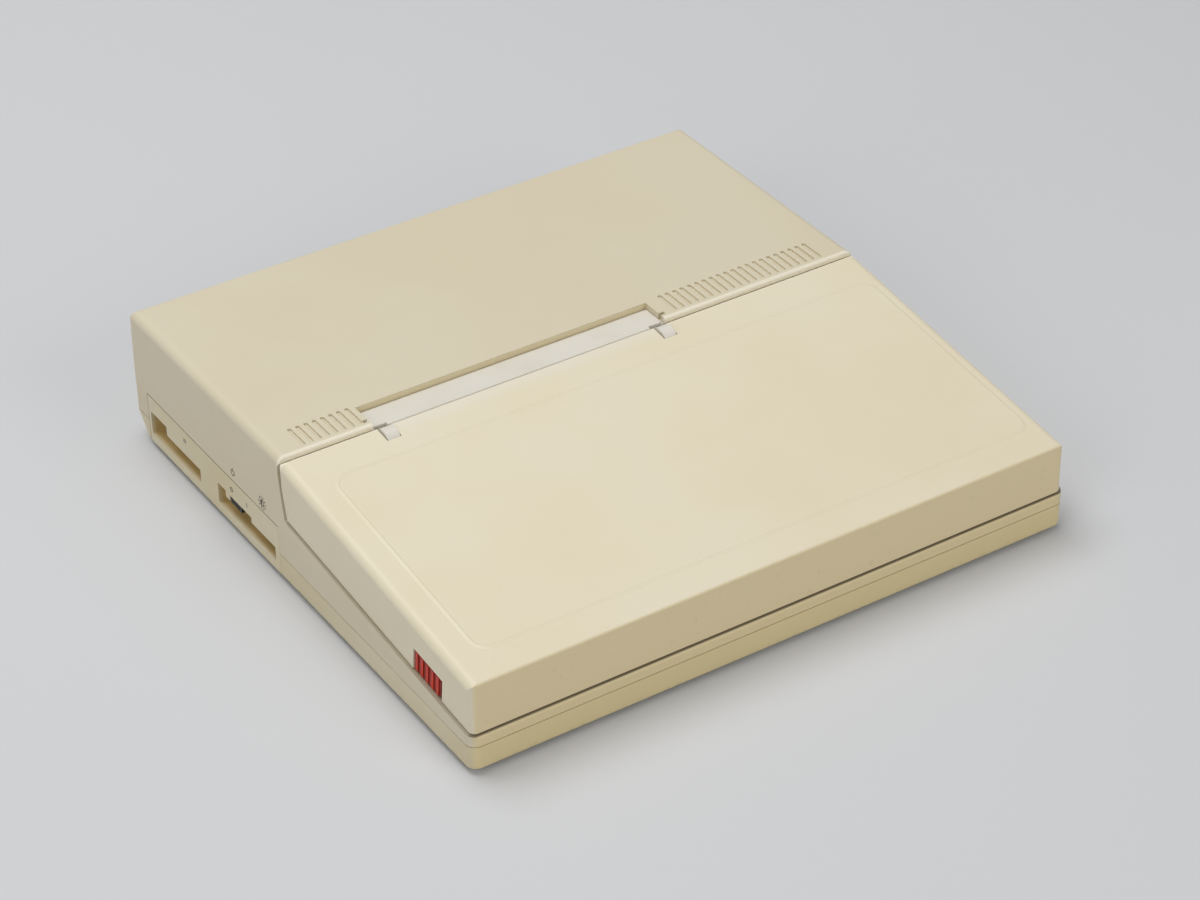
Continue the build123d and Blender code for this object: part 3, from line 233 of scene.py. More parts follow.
trayStainsAndSeamShade = {
    "faceBack": (-0.1520, -0.1495), "face": "#d8c797",
    "scrapeSize": 4, "scrapes": (0.48, 0.66), "scrapeUp": (0.0032, 0.0062),
    "scrapeShare": 0.4, "scraped": "#8f8162",
    "seamUp": (0.01452, 0.01466), "seamShare": 0.85, "seam": "#6d5d3f",
}
latchGrooves = {"sunk": (0.1536, 0.1539), "share": 0.6, "groove": "#470a02"}


def shadePaintedInPockets(tree, place, colour):
    # painted shade: inside its pockets the panel is painted a darker ochre, for the shade and the warm
    # light bounced between their yellowed walls
    s = panelShadeAndDust
    across, _, up = coordinates(tree, place)
    colour = blendColours(tree, ramp(tree, across, *s["pocketDepth"]), colour, s["pocket"])
    seam = ramp(tree, up, *s["seamUp"], 0.0, s["seamShare"])  # painted shade, with some dust, darkens the seam along its top
    return blendColours(tree, seam, colour, s["seam"])


def yellowedLidWithHighlights(tree, place, colour):
    # the upright front face has yellowed most, hands have marked its upper edge, and painted highlights
    # lighten its rear roll
    s = lidStainsAndHighlights
    across, back, up = coordinates(tree, place)
    colour = blendColours(tree, ramp(tree, back, *s["faceBack"], 1.0, 0.0), colour, s["face"])
    roll = ramp(tree, back, *s["rollBack"], 0.0, s["rollShare"])
    roll = multiply(tree, roll, ramp(tree, up, *s["rollUp"]))
    colour = blendColours(tree, roll, colour, s["roll"])  # painted highlight: the rear roll is painted paler
    # painted highlight: between the hinges the roll is painted nearly as white as the plate behind it
    hingeHighlight = between(tree, across, *s["hingeHighlightAcross"])
    hingeHighlight = multiply(tree, hingeHighlight, ramp(tree, back, *s["hingeHighlightBack"]))
    hingeHighlight = multiply(tree, hingeHighlight, s["hingeHighlightShare"])
    colour = blendColours(tree, hingeHighlight, colour, s["hingeHighlight"])
    hands = ramp(tree, noise(tree, place, s["handSize"], 4.0, 0.7), *s["hands"])
    mark = multiply(tree, ramp(tree, back, *s["edgeBack"], 1.0, 0.0), hands)
    return blendColours(tree, multiply(tree, mark, s["handShare"]), colour, s["hand"])


def deckDustAndShade(tree, place, across, back):
    # painted shade and dust: the rim that the lid's wall covers is darkened at deck level, along both
    # sides and the front, for the shadow in the gap and the dust that lies there
    s = caseStainsAndPaintedLight
    settings = {"vector_type": "POINT", "Rotation": (-slope, 0, 0)}
    tilted = addNode(tree, "Mapping", settings, {"Vector": place})
    level = coordinates(tree, tilted.outputs[0])[2]
    deckLevel = deckOrigin[2] * mm * math.cos(slope)
    below, above = s["dustAndShadeUp"]
    high = ramp(tree, level, deckLevel + below * mm, deckLevel + above * mm)
    sides = ramp(tree, maths(tree, "ABSOLUTE", across), *s["dustAndShadeAcross"])
    rim = maths(tree, "MAXIMUM", sides, ramp(tree, back, *s["dustAndShadeFront"], 1.0, 0.0))
    strength = ramp(tree, back, *s["dustAndShadeFades"], s["dustAndShadeInFront"], s["dustAndShadeAtSides"])
    underLid = multiply(tree, strength, ramp(tree, back, *s["lidEnds"], 1.0, 0.0))
    return multiply(tree, multiply(tree, high, rim), underLid)


def yellowedBandAndPaintedLight(tree, place, colour):
    # the narrow band under the lid's front edge has yellowed like the lid's face; painted light and
    # shade lie on the lip, the hinge well's back wall and the rim under the lid
    s = caseStainsAndPaintedLight
    across, back, up = coordinates(tree, place)
    colour = blendColours(tree, ramp(tree, back, *s["faceBack"], 1.0, 0.0), colour, s["face"])
    lipHighlight = ramp(tree, back, *s["lipBack"], s["lipShare"], 0.0)
    lipHighlight = multiply(tree, lipHighlight, ramp(tree, up, *s["lipUp"]))
    colour = blendColours(tree, lipHighlight, colour, s["lipHighlight"])  # painted highlight: the housing's front lip is painted paler
    # painted light and shade: the wall at the back of the hinge well is painted the warmer yellow of
    # shade and light bounced in the well
    wall = between(tree, back, *s["wallBack"])
    wall = multiply(tree, wall, between(tree, across, *s["wallAcross"]))
    wall = multiply(tree, wall, ramp(tree, up, *s["wallUp"], 1.0, 0.0))
    colour = blendColours(tree, multiply(tree, wall, s["wallShare"]), colour, s["wall"])
    return blendColours(tree, deckDustAndShade(tree, place, across, back), colour, s["dustAndShade"])


def yellowedTrayAndSeamShade(tree, place, colour):
    # yellowest in front, rubbed grey along its bottom edge, and painted shade with some dust darkens
    # the seam at its top
    s = trayStainsAndSeamShade
    _, back, up = coordinates(tree, place)
    colour = blendColours(tree, ramp(tree, back, *s["faceBack"], 1.0, 0.0), colour, s["face"])
    scrapes = ramp(tree, noise(tree, place, s["scrapeSize"], 4.0, 0.75), *s["scrapes"])
    low = ramp(tree, up, *s["scrapeUp"], s["scrapeShare"], 0.0)
    colour = blendColours(tree, multiply(tree, low, scrapes), colour, s["scraped"])
    # painted shade, with some dust, in the seam at its top
    return blendColours(tree, ramp(tree, up, *s["seamUp"], 0.0, s["seamShare"]), colour, s["seam"])


def darkGrooves(tree, place, colour):
    # darker between the latch's ribs, half a millimetre below their faces
    s = latchGrooves
    fromMiddle = maths(tree, "ABSOLUTE", coordinates(tree, place)[0])
    sunk = ramp(tree, fromMiddle, *s["sunk"], s["share"], 0.0)
    return blendColours(tree, sunk, colour, s["groove"])


extras = {
    "panelAbs": shadePaintedInPockets, "lidAbs": yellowedLidWithHighlights, "caseAbs": yellowedBandAndPaintedLight,
    "trayAbs": yellowedTrayAndSeamShade, "latchAbs": darkGrooves,
}
materials = {}
for name, row in plasticRows.items():
    materials[name] = mouldedPlastic(name, dict(zip(lookColumns, row)), extras.get(name))
print("plastics made:", len(materials))

metalPattern = {"size": 1.5, "counts": (0.3, 0.7), "smoother": 0.08, "rougher": 0.1}


def metal(name, base, streak, rough, stretch):
    # streaks, or blotches where the stretch is even, vary the colour a little
    # and the roughness more
    m = metalPattern
    material, tree, surface, place = startMaterial(name)
    along = addNode(tree, "Mapping", {"Scale": stretch}, {"Vector": place})
    lines = noise(tree, along.outputs[0], m["size"], 3.0)
    tree.links.new(blendColours(tree, lines, base, streak), surface.inputs["Base Color"])
    roughness = ramp(tree, lines, *m["counts"], rough - m["smoother"], rough + m["rougher"])
    tree.links.new(roughness, surface.inputs["Roughness"])
    setInputs(surface, {"Metallic": 1.0})
    return material


metalRows = {
    "zincSteel": ("#b9b9b6", "#a3a39d", 0.34, (1.0, 0.15, 1.0)),  # bright zinc plate
    "phosphatedSteel": ("#3c3c3a", "#50504c", 0.55, (1.0, 1.0, 1.0)),  # dark and dull
    "castAluminium": ("#c4c5c7", "#aaabad", 0.45, (1.0, 1.0, 1.0)),  # grey, sandy skin
}
for name, row in metalRows.items():
    materials[name] = metal(name, *row)


rubber = {
    "bloomSize": 5, "bloom": (0.45, 0.75), "colours": ("#2b2a28", "#4a4844"),
    "rough": 0.82, "relief": 0.3,
}


def rubberMaterial():
    # black nitrile rubber: dull, with a chalky bloom in patches
    material, tree, surface, place = startMaterial("nitrileRubber")
    bloom = noise(tree, place, rubber["bloomSize"], 4.0)
    colour = blendColours(tree, ramp(tree, bloom, *rubber["bloom"]), *rubber["colours"])
    tree.links.new(colour, surface.inputs["Base Color"])
    setInputs(surface, {"Roughness": rubber["rough"]})
    addGrain(tree, surface, bloom, rubber["relief"])
    return material


board = {"repeat": 5.08, "rough": 0.35}  # two tracks 2.54 mm apart to a repeat


def boardMaterial():
    # glass-epoxy board: green solder mask over a lattice of copper tracks 2.54 mm apart
    material, tree, surface, place = startMaterial("glassEpoxyBoard")
    tracks = addNode(tree, "TexBrick", {
        "Color1": toLinear("#1f6a3a"), "Color2": toLinear("#1a5c33"), "Mortar": toLinear("#2f8650"),
        "Scale": 1 / (board["repeat"] * mm), "Mortar Size": 0.03, "Brick Width": 1.0, "Row Height": 0.5,
    }, {"Vector": place})
    tree.links.new(tracks.outputs["Color"], surface.inputs["Base Color"])
    setInputs(surface, {"Roughness": board["rough"]})
    return material


# the display's active area in metres: half its width, how far its middle lies in front of the
# shared frame's, and half its depth; the pixels are in millimetres
screen = {"across": (0.1105, 0.1110), "inFront": 0.0726, "along": (0.0400, 0.0405), "pixel": 0.7}


def screenMaterial():
    # twisted-nematic display: olive active area with its pixel grid, inside a dark printed border
    material, tree, surface, place = startMaterial("displayGlass")
    across, back, _ = coordinates(tree, place)
    insideX = ramp(tree, maths(tree, "ABSOLUTE", across), *screen["across"], 1.0, 0.0)
    fromMiddle = maths(tree, "ABSOLUTE", maths(tree, "ADD", back, screen["inFront"]))
    insideY = ramp(tree, fromMiddle, *screen["along"], 1.0, 0.0)
    pixels = addNode(tree, "TexBrick", {
        "Color1": toLinear("#6f7a5a"), "Color2": toLinear("#737e5d"), "Mortar": toLinear("#5f694c"),
        "offset": 0.0, "Scale": 1 / (screen["pixel"] * mm), "Mortar Size": 0.06,
        "Brick Width": 1.0, "Row Height": 1.0,
    }, {"Vector": place})
    active = multiply(tree, insideX, insideY)
    colour = blendColours(tree, active, "#23251f", pixels.outputs["Color"])
    tree.links.new(colour, surface.inputs["Base Color"])
    setInputs(surface, {"Roughness": 0.12, "IOR": 1.52, "Coat Weight": 0.6, "Coat Roughness": 0.05})
    return material


lens = {"cloudSize": 1.4, "colours": ("#5f7d2c", "#8aa54a")}


def lensMaterial():
    # green acrylic lens over an unlit lamp
    material, tree, surface, place = startMaterial("acrylicLens")
    cloud = noise(tree, place, lens["cloudSize"], 2.0)
    colour = blendColours(tree, cloud, *lens["colours"])
    tree.links.new(colour, surface.inputs["Base Color"])
    setInputs(surface, {"Roughness": 0.15, "IOR": 1.49, "Coat Weight": 0.5})
    return material


ink = {"cloudSize": 0.9, "cloud": (0.3, 0.7), "colours": ("#3a342b", "#4b443a")}


def inkMaterial():
    # dye of a legend or mark: dark brown, a little uneven where it ran into the plastic
    material, tree, surface, place = startMaterial("sublimatedInk")
    cloud = noise(tree, place, ink["cloudSize"], 2.0)
    colour = blendColours(tree, ramp(tree, cloud, *ink["cloud"]), *ink["colours"])
    tree.links.new(colour, surface.inputs["Base Color"])
    setInputs(surface, {"Roughness": 0.6, "IOR": 1.5})
    return material


for make in (rubberMaterial, boardMaterial, screenMaterial, lensMaterial, inkMaterial):
    made = make()
    materials[made.name] = made

# surfaces from arrays


def ringSurface(rings):
    # a tube of rings, (rings, points, 3), counter-clockwise seen from its far end, with a fan
    # that closes each end
    count, around, _ = rings.shape
    i, j = np.meshgrid(np.arange(count - 1), np.arange(around), indexing="ij")
    k = (j + 1) % around
    corners = [i * around + j, i * around + k, (i + 1) * around + k, (i + 1) * around + j]
    quads = np.stack(corners, -1).reshape(-1, 4)
    points = np.concatenate([rings.reshape(-1, 3), rings[0].mean(0)[None], rings[-1].mean(0)[None]])
    j = np.arange(around)
    k = (j + 1) % around
    nearHub, farHub, farRing = count * around, count * around + 1, (count - 1) * around
    first = np.stack([np.full(around, nearHub), k, j], -1)
    last = np.stack([np.full(around, farHub), farRing + j, farRing + k], -1)
    return points, quads.tolist() + first.tolist() + last.tolist()


def roundedOutline(halfWidth, halfDepth, corner, perCorner=6):
    # rectangle with quarter-circle corners: each corner's centre plus corner * (cos t, sin t)
    t = np.linspace(0, np.pi / 2, perCorner)[None, :] + np.arange(4)[:, None] * np.pi / 2
    signX = np.array([1, -1, -1, 1])[:, None]
    signY = np.array([1, 1, -1, -1])[:, None]
    x = signX * (halfWidth - corner) + corner * np.cos(t)
    y = signY * (halfDepth - corner) + corner * np.sin(t)
    return np.stack([x.ravel(), y.ravel()], -1)


def levelRing(flat, z):
    # a flat outline lifted to one height
    return np.column_stack([flat, np.full(len(flat), z)])


def turned(flat, angle):
    c, s = math.cos(angle), math.sin(angle)
    return flat @ np.array([[c, s], [-s, c]])


def makePiece(name, surfaces, material, body, replaced=(), smooth=True):
    # one object from several surfaces, riding on a body
    points, faces, first = [], [], 0
    for somePoints, someFaces in surfaces:
        points.append(somePoints)
        faces += [[v + first for v in face] for face in someFaces]
        first += len(somePoints)
    mesh = bpy.data.meshes.new(name)
    mesh.from_pydata(np.concatenate(points).tolist(), [], faces)
    mesh.polygons.foreach_set("use_smooth", np.full(len(mesh.polygons), smooth))
    mesh.materials.append(materials[material])
    piece = bpy.data.objects.new(name, mesh)
    bpy.context.scene.collection.objects.link(piece)
    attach(piece, body)
    if replaced:
        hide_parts(*replaced)


# keycaps: rows and one cap's section, in millimetres on the deck

keyboard = {
    "pitch": 19.05, "width": 285.75, "frontEdge": -141.0, "gap": 1.5,
    "functionRow": 5, "functionDepth": 12.0, "functionGap": 3.0, "longUnits": 3,
}
cap = {
    "low": -1.5, "high": 5.5, "taper": 14.0, "shoulder": 0.8,
    "stem": 2.75, "stemLow": -5.8, "stemCorner": 0.4, "stemGap": 0.02,
    "bevelIn": 0.4, "bevelUp": 0.3, "bevelCorners": (0.8, 1.0),
    "sideLow": 2.6, "sideHigh": 1.3, "sideCorner": 1.2, "cornerGrowth": 0.12,
    "turns": (0.35, 0.7, 1.0),  # shares of the quarter turn over the shoulder
    "turnOut": 0.25, "turnCorner": 2.1, "turnCornerLoss": 0.4,
    "shares": (0.86, 0.66, 0.42, 0.18), "hollowCorner": 1.5,
    "dish": 0.75, "dishDrop": 0.05, "crown": 0.5, "crownDrop": 0.1,
}
homing = {
    "keys": ("F", "J"), "fromFront": 5.0, "perCorner": 4,
    # each ring's half width, half depth, corner and height over the hollow
    "rows": ((1.6, 0.3, 0.28, -0.2), (1.6, 0.3, 0.28, 0.12), (1.45, 0.16, 0.15, 0.28)),
}
keyWidths = {  # row, start and widths in key pitches
    "keys_function": (5, 0.0, (15 / 13,) * 13),
    "keys_number": (4, 0.0, (1,) * 13 + (2,)),
    "keys_upper": (3, 0.0, (1.5,) + (1,) * 12 + (1.5,)),
    "keys_home": (2, 0.0, (1.75,) + (1,) * 11 + (2.25,)),
    "keys_lower": (1, 0.0, (2.25,) + (1,) * 10 + (1.75, 1)),
    "keys_bottom": (0, 0.0, (1.25, 1, 1.25, -6.25, 1.25, 1, 1, 1, 1)),  # minus: room for the bar
    "space_bar": (0, 3.5, (6.25,)),
}
brownRows = ("keys_function", "keys_bottom")
keyLegends = {
    "keys_function": ["Esc"] + [f"F{n}" for n in range(1, 11)] + ["Ins", "Del"],
    "keys_number": [
        "~ `", "! 1", "@ 2", "# 3", "$ 4", "% 5", "^ 6", "& 7", "* 8", "( 9", ") 0", "_ -", "+ =",
        "Back",
    ],
    "keys_upper": ["Tab"] + list("QWERTYUIOP") + ["{ [", "} ]", "| \\"],
    "keys_home": ["Ctrl"] + list("ASDFGHJKL") + [": ;", "\" '", "Enter"],
    "keys_lower": ["Shift"] + list("ZXCVBNM") + ["< ,", "> .", "? /", "Shift", "up"],
    "keys_bottom": ["Caps", "Fn", "Alt", "Alt", "Num", "left", "down", "right"],
    "space_bar": [""],
}


def rowPlaces(row, start, widths):
    # middle, width and depth of each key of a row
    k = keyboard
    isFunction = row == k["functionRow"]
    depth = k["functionDepth"] if isFunction else k["pitch"]
    y = k["frontEdge"] + row * k["pitch"] + depth / 2 + (k["functionGap"] if isFunction else 0.0)
    places = []
    for units in widths:
        if units > 0:
            x = (start + units / 2) * k["pitch"] - k["width"] / 2
            places.append((x, y, units * k["pitch"] - k["gap"], depth - k["gap"]))
        start += abs(units)
    return places


def capTop(width, depth):
    # half the width and half the depth of a cap's top, inside its leaning sides
    lean = (cap["high"] - cap["low"]) * math.tan(math.radians(cap["taper"]))
    return width / 2 - lean, depth / 2 - lean


def capHeight(x, y, halfX, halfY, long):
    # cylindrical hollow across a key, or a crown along a long bar
    if long:
        return cap["high"] - cap["crownDrop"] - cap["crown"] * np.clip(y / halfY, -1, 1) ** 2
    return cap["high"] - cap["dishDrop"] - cap["dish"] * (1 - np.clip(x / halfX, -1, 1) ** 2)


def keycap(x, y, width, depth):
    # rings climb the stem, spread under the cap, lean in up its sides, roll over the shoulder
    # and close in the hollow
    c = cap
    lean = math.tan(math.radians(c["taper"]))
    topX, topY = capTop(width, depth)
    long = width > keyboard["longUnits"] * keyboard["pitch"]
    stem, low, tuck = c["stem"], c["low"], c["bevelIn"]
    tuckCorner, skirtCorner = c["bevelCorners"]
    rows = [
        (stem, stem, c["stemCorner"], c["stemLow"]),
        (stem, stem, c["stemCorner"], low - c["stemGap"]),
        (width / 2 - tuck, depth / 2 - tuck, tuckCorner, low),
        (width / 2, depth / 2, skirtCorner, low + c["bevelUp"]),
    ]
    for z in (low + c["sideLow"], c["high"] - c["sideHigh"]):
        inward = (z - low) * lean
        corner = c["sideCorner"] + c["cornerGrowth"] * (z - low)
        rows.append((width / 2 - inward, depth / 2 - inward, corner, z))
    rings = [levelRing(roundedOutline(halfX, halfY, corner), z) for halfX, halfY, corner, z in rows]
    for turn in c["turns"]:
        angle = turn * math.pi / 2
        inset = c["shoulder"] * (1 - math.cos(angle)) - c["turnOut"] * (1 - turn)
        corner = c["turnCorner"] - c["turnCornerLoss"] * turn
        outline = roundedOutline(topX - inset, topY - inset, corner)
        over = capHeight(outline[:, 0], outline[:, 1], topX, topY, long)
        z = over - c["shoulder"] * (1 - math.sin(angle))
        rings.append(np.column_stack([outline, z]))
    for share in c["shares"]:
        halfX, halfY = (topX - c["shoulder"]) * share, (topY - c["shoulder"]) * share
        outline = roundedOutline(halfX, halfY, c["hollowCorner"] * share)
        z = capHeight(outline[:, 0], outline[:, 1], topX, topY, long)
        rings.append(np.column_stack([outline, z]))
    points, faces = ringSurface(np.array(rings) + (x, y, 0.0))
    return onDeck(points), faces


def homingBar(x, y, depth):
    # small raised bar near the front of the hollow
    low = cap["high"] - cap["dishDrop"] - cap["dish"]
    rings = np.array([
        levelRing(roundedOutline(halfX, halfY, corner, homing["perCorner"]), low + lift)
        for halfX, halfY, corner, lift in homing["rows"]
    ])
    points, faces = ringSurface(rings + (x, y - depth / 2 + homing["fromFront"], 0.0))
    return onDeck(points), faces


# legends, in millimetres: letter sizes, where their lower left lies, and how they stand in the cap

legend = {
    "margin": 1.6, "pairSize": 3.2, "pairLows": (1.0, -3.6), "letterSize": 4.2, "letterLow": 0.4,
    "wordSize": 2.5, "wordMargin": 1.5, "wordLow": 0.6, "wordLowShort": -0.9, "shortKey": 12,
    "arrowSize": 3.0, "proud": 0.02, "thickness": 0.05, "curveSteps": 3,
}
arrowTurns = {"right": 0, "up": 1, "left": 2, "down": 3}
arrowOutline = (
    (-1, -0.25), (0.1, -0.25), (0.1, -0.75), (1, 0), (0.1, 0.75), (0.1, 0.25), (-1, 0.25),
)


def platedShape(points, faces, thickness):
    # closes a flat shape: a copy sunk along the deck's normal and turned over, and a strip along
    # every open edge
    count = len(points)
    edges = {(a, b) for face in faces for a, b in zip(face, face[1:] + face[:1])}
    strip = [[b, a, a + count, b + count] for a, b in edges if (b, a) not in edges]
    under = [[v + count for v in face[::-1]] for face in faces]
    return np.concatenate([points, points - thickness * mm * deckUp]), faces + under + strip


def letterShape(text, size):
    # flat points and faces of a word, in millimetres, its lower left at the origin
    curve = bpy.data.curves.new("legend", "FONT")
    curve.body = text
    curve.size = size
    curve.resolution_u = legend["curveSteps"]
    holder = bpy.data.objects.new("legend", curve)
    mesh = bpy.data.meshes.new_from_object(holder)
    flat = np.empty(len(mesh.vertices) * 3)
    mesh.vertices.foreach_get("co", flat)
    faces = [list(p.vertices) for p in mesh.polygons]
    bpy.data.objects.remove(holder)
    bpy.data.curves.remove(curve)
    bpy.data.meshes.remove(mesh)
    return flat.reshape(-1, 3), faces


def arrowShape(direction, size):
    # triangular head on a short stem, turned to one of four sides
    outline = np.array(arrowOutline) * size / 2
    flat = turned(outline, arrowTurns[direction] * math.pi / 2) + size / 2
    return levelRing(flat, 0.0), [list(range(len(flat)))]


def legendShapes(text, topX, depth):
    # each shape of a legend, and where its lower left lies from the middle of the cap
    g = legend
    words = text.split(" ")
    if text in arrowTurns:
        corner = -g["arrowSize"] / 2
        return [(arrowShape(text, g["arrowSize"]), corner, corner)]
    left = -topX + g["margin"]
    if len(words) == 2:
        return [(letterShape(w, g["pairSize"]), left, low) for w, low in zip(words, g["pairLows"])]
    if len(text) == 1:
        return [(letterShape(text, g["letterSize"]), left, g["letterLow"])]
    low = g["wordLow"] if depth > g["shortKey"] else g["wordLowShort"]
    return [(letterShape(text, g["wordSize"]), -topX + g["wordMargin"], low)]


def legendOn(place, text):
    # the legend follows the hollow, near the cap's upper left
    x, y, width, depth = place
    topX, topY = capTop(width, depth)
    made = []
    for (flat, faces), left, low in legendShapes(text, topX, depth):
        px, py = flat[:, 0] + left, flat[:, 1] + low
        lift = capHeight(px, py, topX, topY, False) + legend["proud"]
        points = onDeck(np.column_stack([px + x, py + y, lift]))
        made.append(platedShape(points, faces, legend["thickness"]))
    return made


def makeKeys():
    for node, (row, start, widths) in keyWidths.items():
        places = rowPlaces(row, start, widths)
        surfaces = [keycap(*place) for place in places]
        legends = []
        for place, text in zip(places, keyLegends[node]):
            x, y, _, depth = place
            if text:
                legends += legendOn(place, text)
            if text in homing["keys"]:
                surfaces.append(homingBar(x, y, depth))
        brown = node in brownRows
        finish, slotName = ("keyPbtBrown", "key_brown") if brown else ("keyPbt", "key_plastic")
        makePiece(f"caps_{node}", surfaces, finish, node, (node,))
        if legends:
            legendName = f"legends_{node}"
            makePiece(legendName, legends, "sublimatedInk", node, smooth=False)
    print("keycaps and legends made")


makeKeys()


# the lid's raised panel runs out in a soft roll; millimetres along the lid

panel = {
    "low": (-139.5, -135.44), "high": (146.5, -14.10), "corner": 7.0, "perCorner": 10,
    "rise": 0.362, "rollWidth": 2.0, "rollSteps": 10, "feather": 0.02, "inset": 0.3, "sunk": 0.2,
    "lidHeight": 64.087, "lidSlope": 0.11861,
}


def layPanelRoll():
    # a rounded rectangle carries a closed section over the roll's width s:
    # height = rise * (1 - 3 s^2 + 2 s^3), less a feather that sinks its outer edge
    p = panel
    low, high = np.array(p["low"]), np.array(p["high"])
    middle, half = (low + high) / 2, (high - low) / 2
    s = np.linspace(0, 1, p["rollSteps"])
    rolled = p["rise"] * (1 - 3 * s**2 + 2 * s**3) - p["feather"] * s
    offsets = np.concatenate([[-p["inset"]], s * p["rollWidth"], [p["rollWidth"], -p["inset"]]])
    heights = np.concatenate([[p["rise"]], rolled, [-p["sunk"], -p["sunk"]]])
    rings = np.array([
        levelRing(roundedOutline(*(half + o), p["corner"] + o, p["perCorner"]) + middle, h)
        for o, h in zip(offsets, heights)
    ])
    angle = math.atan(p["lidSlope"])
    flatY, lift = rings[..., 1], rings[..., 2]
    y = flatY * math.cos(angle) - lift * math.sin(angle)
    z = p["lidHeight"] + flatY * math.sin(angle) + lift * math.cos(angle)
    points = np.stack([rings[..., 0], y, z], -1).reshape(-1, 3) * mm
    count, around, _ = rings.shape
    i, j = np.meshgrid(np.arange(count), np.arange(around), indexing="ij")
    nextI, nextJ = (i + 1) % count, (j + 1) % around
    corners = [i * around + j, nextI * around + j, nextI * around + nextJ, i * around + nextJ]
    faces = np.stack(corners, -1).reshape(-1, 4)
    makePiece("panel_roll", [(points, faces.tolist())], "lidAbs", "lid")
    print("panel roll laid")


layPanelRoll()


# screws with a cross recess, in millimetres; the recess fades over a blend measured in blades

screw = {
    "around": 48, "tip": 0.25, "tipLength": 1.6, "rimUp": 0.25, "rimIn": 0.12,
    "dome": 0.35, "domeRings": 14, "domeIn": 0.3, "domeHub": 0.08,
    "bladeWidth": 0.42, "bladeLength": 1.55, "recess": 0.9, "recessEnds": 1.15, "recessBlend": 0.3,
}
caseScrews = {
    "sizes": {"headRadius": 3.0, "headHeight": 1.3, "shaftRadius": 1.45, "shaftLength": 12.4},
    "seat": 4.5, "sides": (-149.6, 149.6), "alongSides": (-141.0, -45.0),
    "rear": [(-66.0, 135.0), (4.0, 135.0)],
}
bezelScrews = {
    "sizes": {"headRadius": 3.0, "headHeight": 0.75, "shaftRadius": 1.2, "shaftLength": 7.6},
    "seat": 9.9, "sides": (-144.5, 144.5), "alongSides": (-141.0, -70.0, -9.0),
}


def crossScrew(centre, up, across, headRadius, headHeight, shaftRadius, shaftLength):
    # rings climb the pointed shaft and the head's rim, then cross its dome; the dome's height
    # falls by the recess where a point lies on one of two crossed blades
    s = screw
    t = np.linspace(0, 2 * np.pi, s["around"], endpoint=False)
    circle = np.stack([np.cos(t), np.sin(t)], -1)
    rows = [
        (s["tip"], -shaftLength), (shaftRadius, -shaftLength + s["tipLength"]),
        (shaftRadius, 0.0), (headRadius, 0.0),
        (headRadius, headHeight - s["rimUp"]), (headRadius - s["rimIn"], headHeight),
    ]
    rings = [levelRing(circle * r, z) for r, z in rows]
    for r in np.linspace(headRadius - s["domeIn"], s["domeHub"], s["domeRings"]):
        flat = circle * r
        dome = headHeight + s["dome"] * (1 - (r / headRadius) ** 2)
        x, y = np.abs(flat[:, 0]), np.abs(flat[:, 1])
        near = np.minimum(
            np.maximum(x / s["bladeWidth"], y / s["bladeLength"]),
            np.maximum(y / s["bladeWidth"], x / s["bladeLength"]),
        )
        sunk = np.clip((s["recessEnds"] - near) / s["recessBlend"], 0, 1)
        rings.append(np.column_stack([flat, dome - s["recess"] * sunk]))
    points, faces = ringSurface(np.array(rings))
    axes = np.stack([across, np.cross(up, across), up])
    return (points @ axes + centre) * mm, faces


def makeScrews():
    down, right = np.array([0.0, 0.0, -1.0]), np.array([1.0, 0.0, 0.0])
    c, b = caseScrews, bezelScrews
    below = [(x, y) for x in c["sides"] for y in c["alongSides"]] + c["rear"]
    places = [np.array([x, y, c["seat"]]) for x, y in below]
    surfaces = [crossScrew(at, down, right, **c["sizes"]) for at in places]
    makePiece("screws_case", surfaces, "zincSteel", "base", ("case_screws",))
    inLid = [(x, y) for x in b["sides"] for y in b["alongSides"]]
    places = [deckOrigin + x * deckAcross + y * deckBack + b["seat"] * deckUp for x, y in inLid]
    surfaces = [crossScrew(at, -deckUp, right, **b["sizes"]) for at in places]
    makePiece("screws_bezel", surfaces, "zincSteel", "lid", ("bezel_screws",))
    print("screws made")


makeScrews()


# printed marks on the left flank, placed by (towards the rear, up) in millimetres: O and I over
# the switch, a power mark, a half-filled sun over the contrast wheel and two bars at the inlet

marks = {
    "panelFace": -155.52, "seam": 29.3, "lean": 1.7 / 36.7, "thickness": 0.15, "line": 0.6,
    "off": (54.5, 23.2), "offRadius": 1.0, "on": (40.0, 23.2), "onHalf": 1.2,
    "sun": (24.5, 33.6), "sunRadius": 1.5, "rays": 10, "rayFrom": 2.9, "rayHalf": 0.6,
    "power": (52.0, 34.0), "powerRadius": 1.5, "powerShare": 0.8, "powerStart": 126,
    "powerBar": (52.0, 35.3), "powerBarHalf": 1.0,
    "inletBars": ((100.0, 24.2), (100.0, 23.0)), "inletBarHalf": 1.5,
    "arcSteps": 32, "stripSteps": 4, "halfSteps": 17, "barCorner": 0.6, "barPerCorner": 3,
}


def flankPoints(flat, lift):
    # above the seam the flank leans in
    above = np.maximum(flat[:, 1] - marks["seam"], 0)
    x = marks["panelFace"] + above * marks["lean"] + lift
    return np.column_stack([x, flat]) * mm


def flatMark(outline):
    # closed plate with that outline: its inner face, its outer face and the strip between
    inner, outer = flankPoints(outline, marks["thickness"]), flankPoints(outline, 0.0)
    return ringSurface(np.array([inner, outer]))


def arc(start, turn, count):
    t = start + np.linspace(0, turn, count)
    return np.stack([np.cos(t), np.sin(t)], -1)


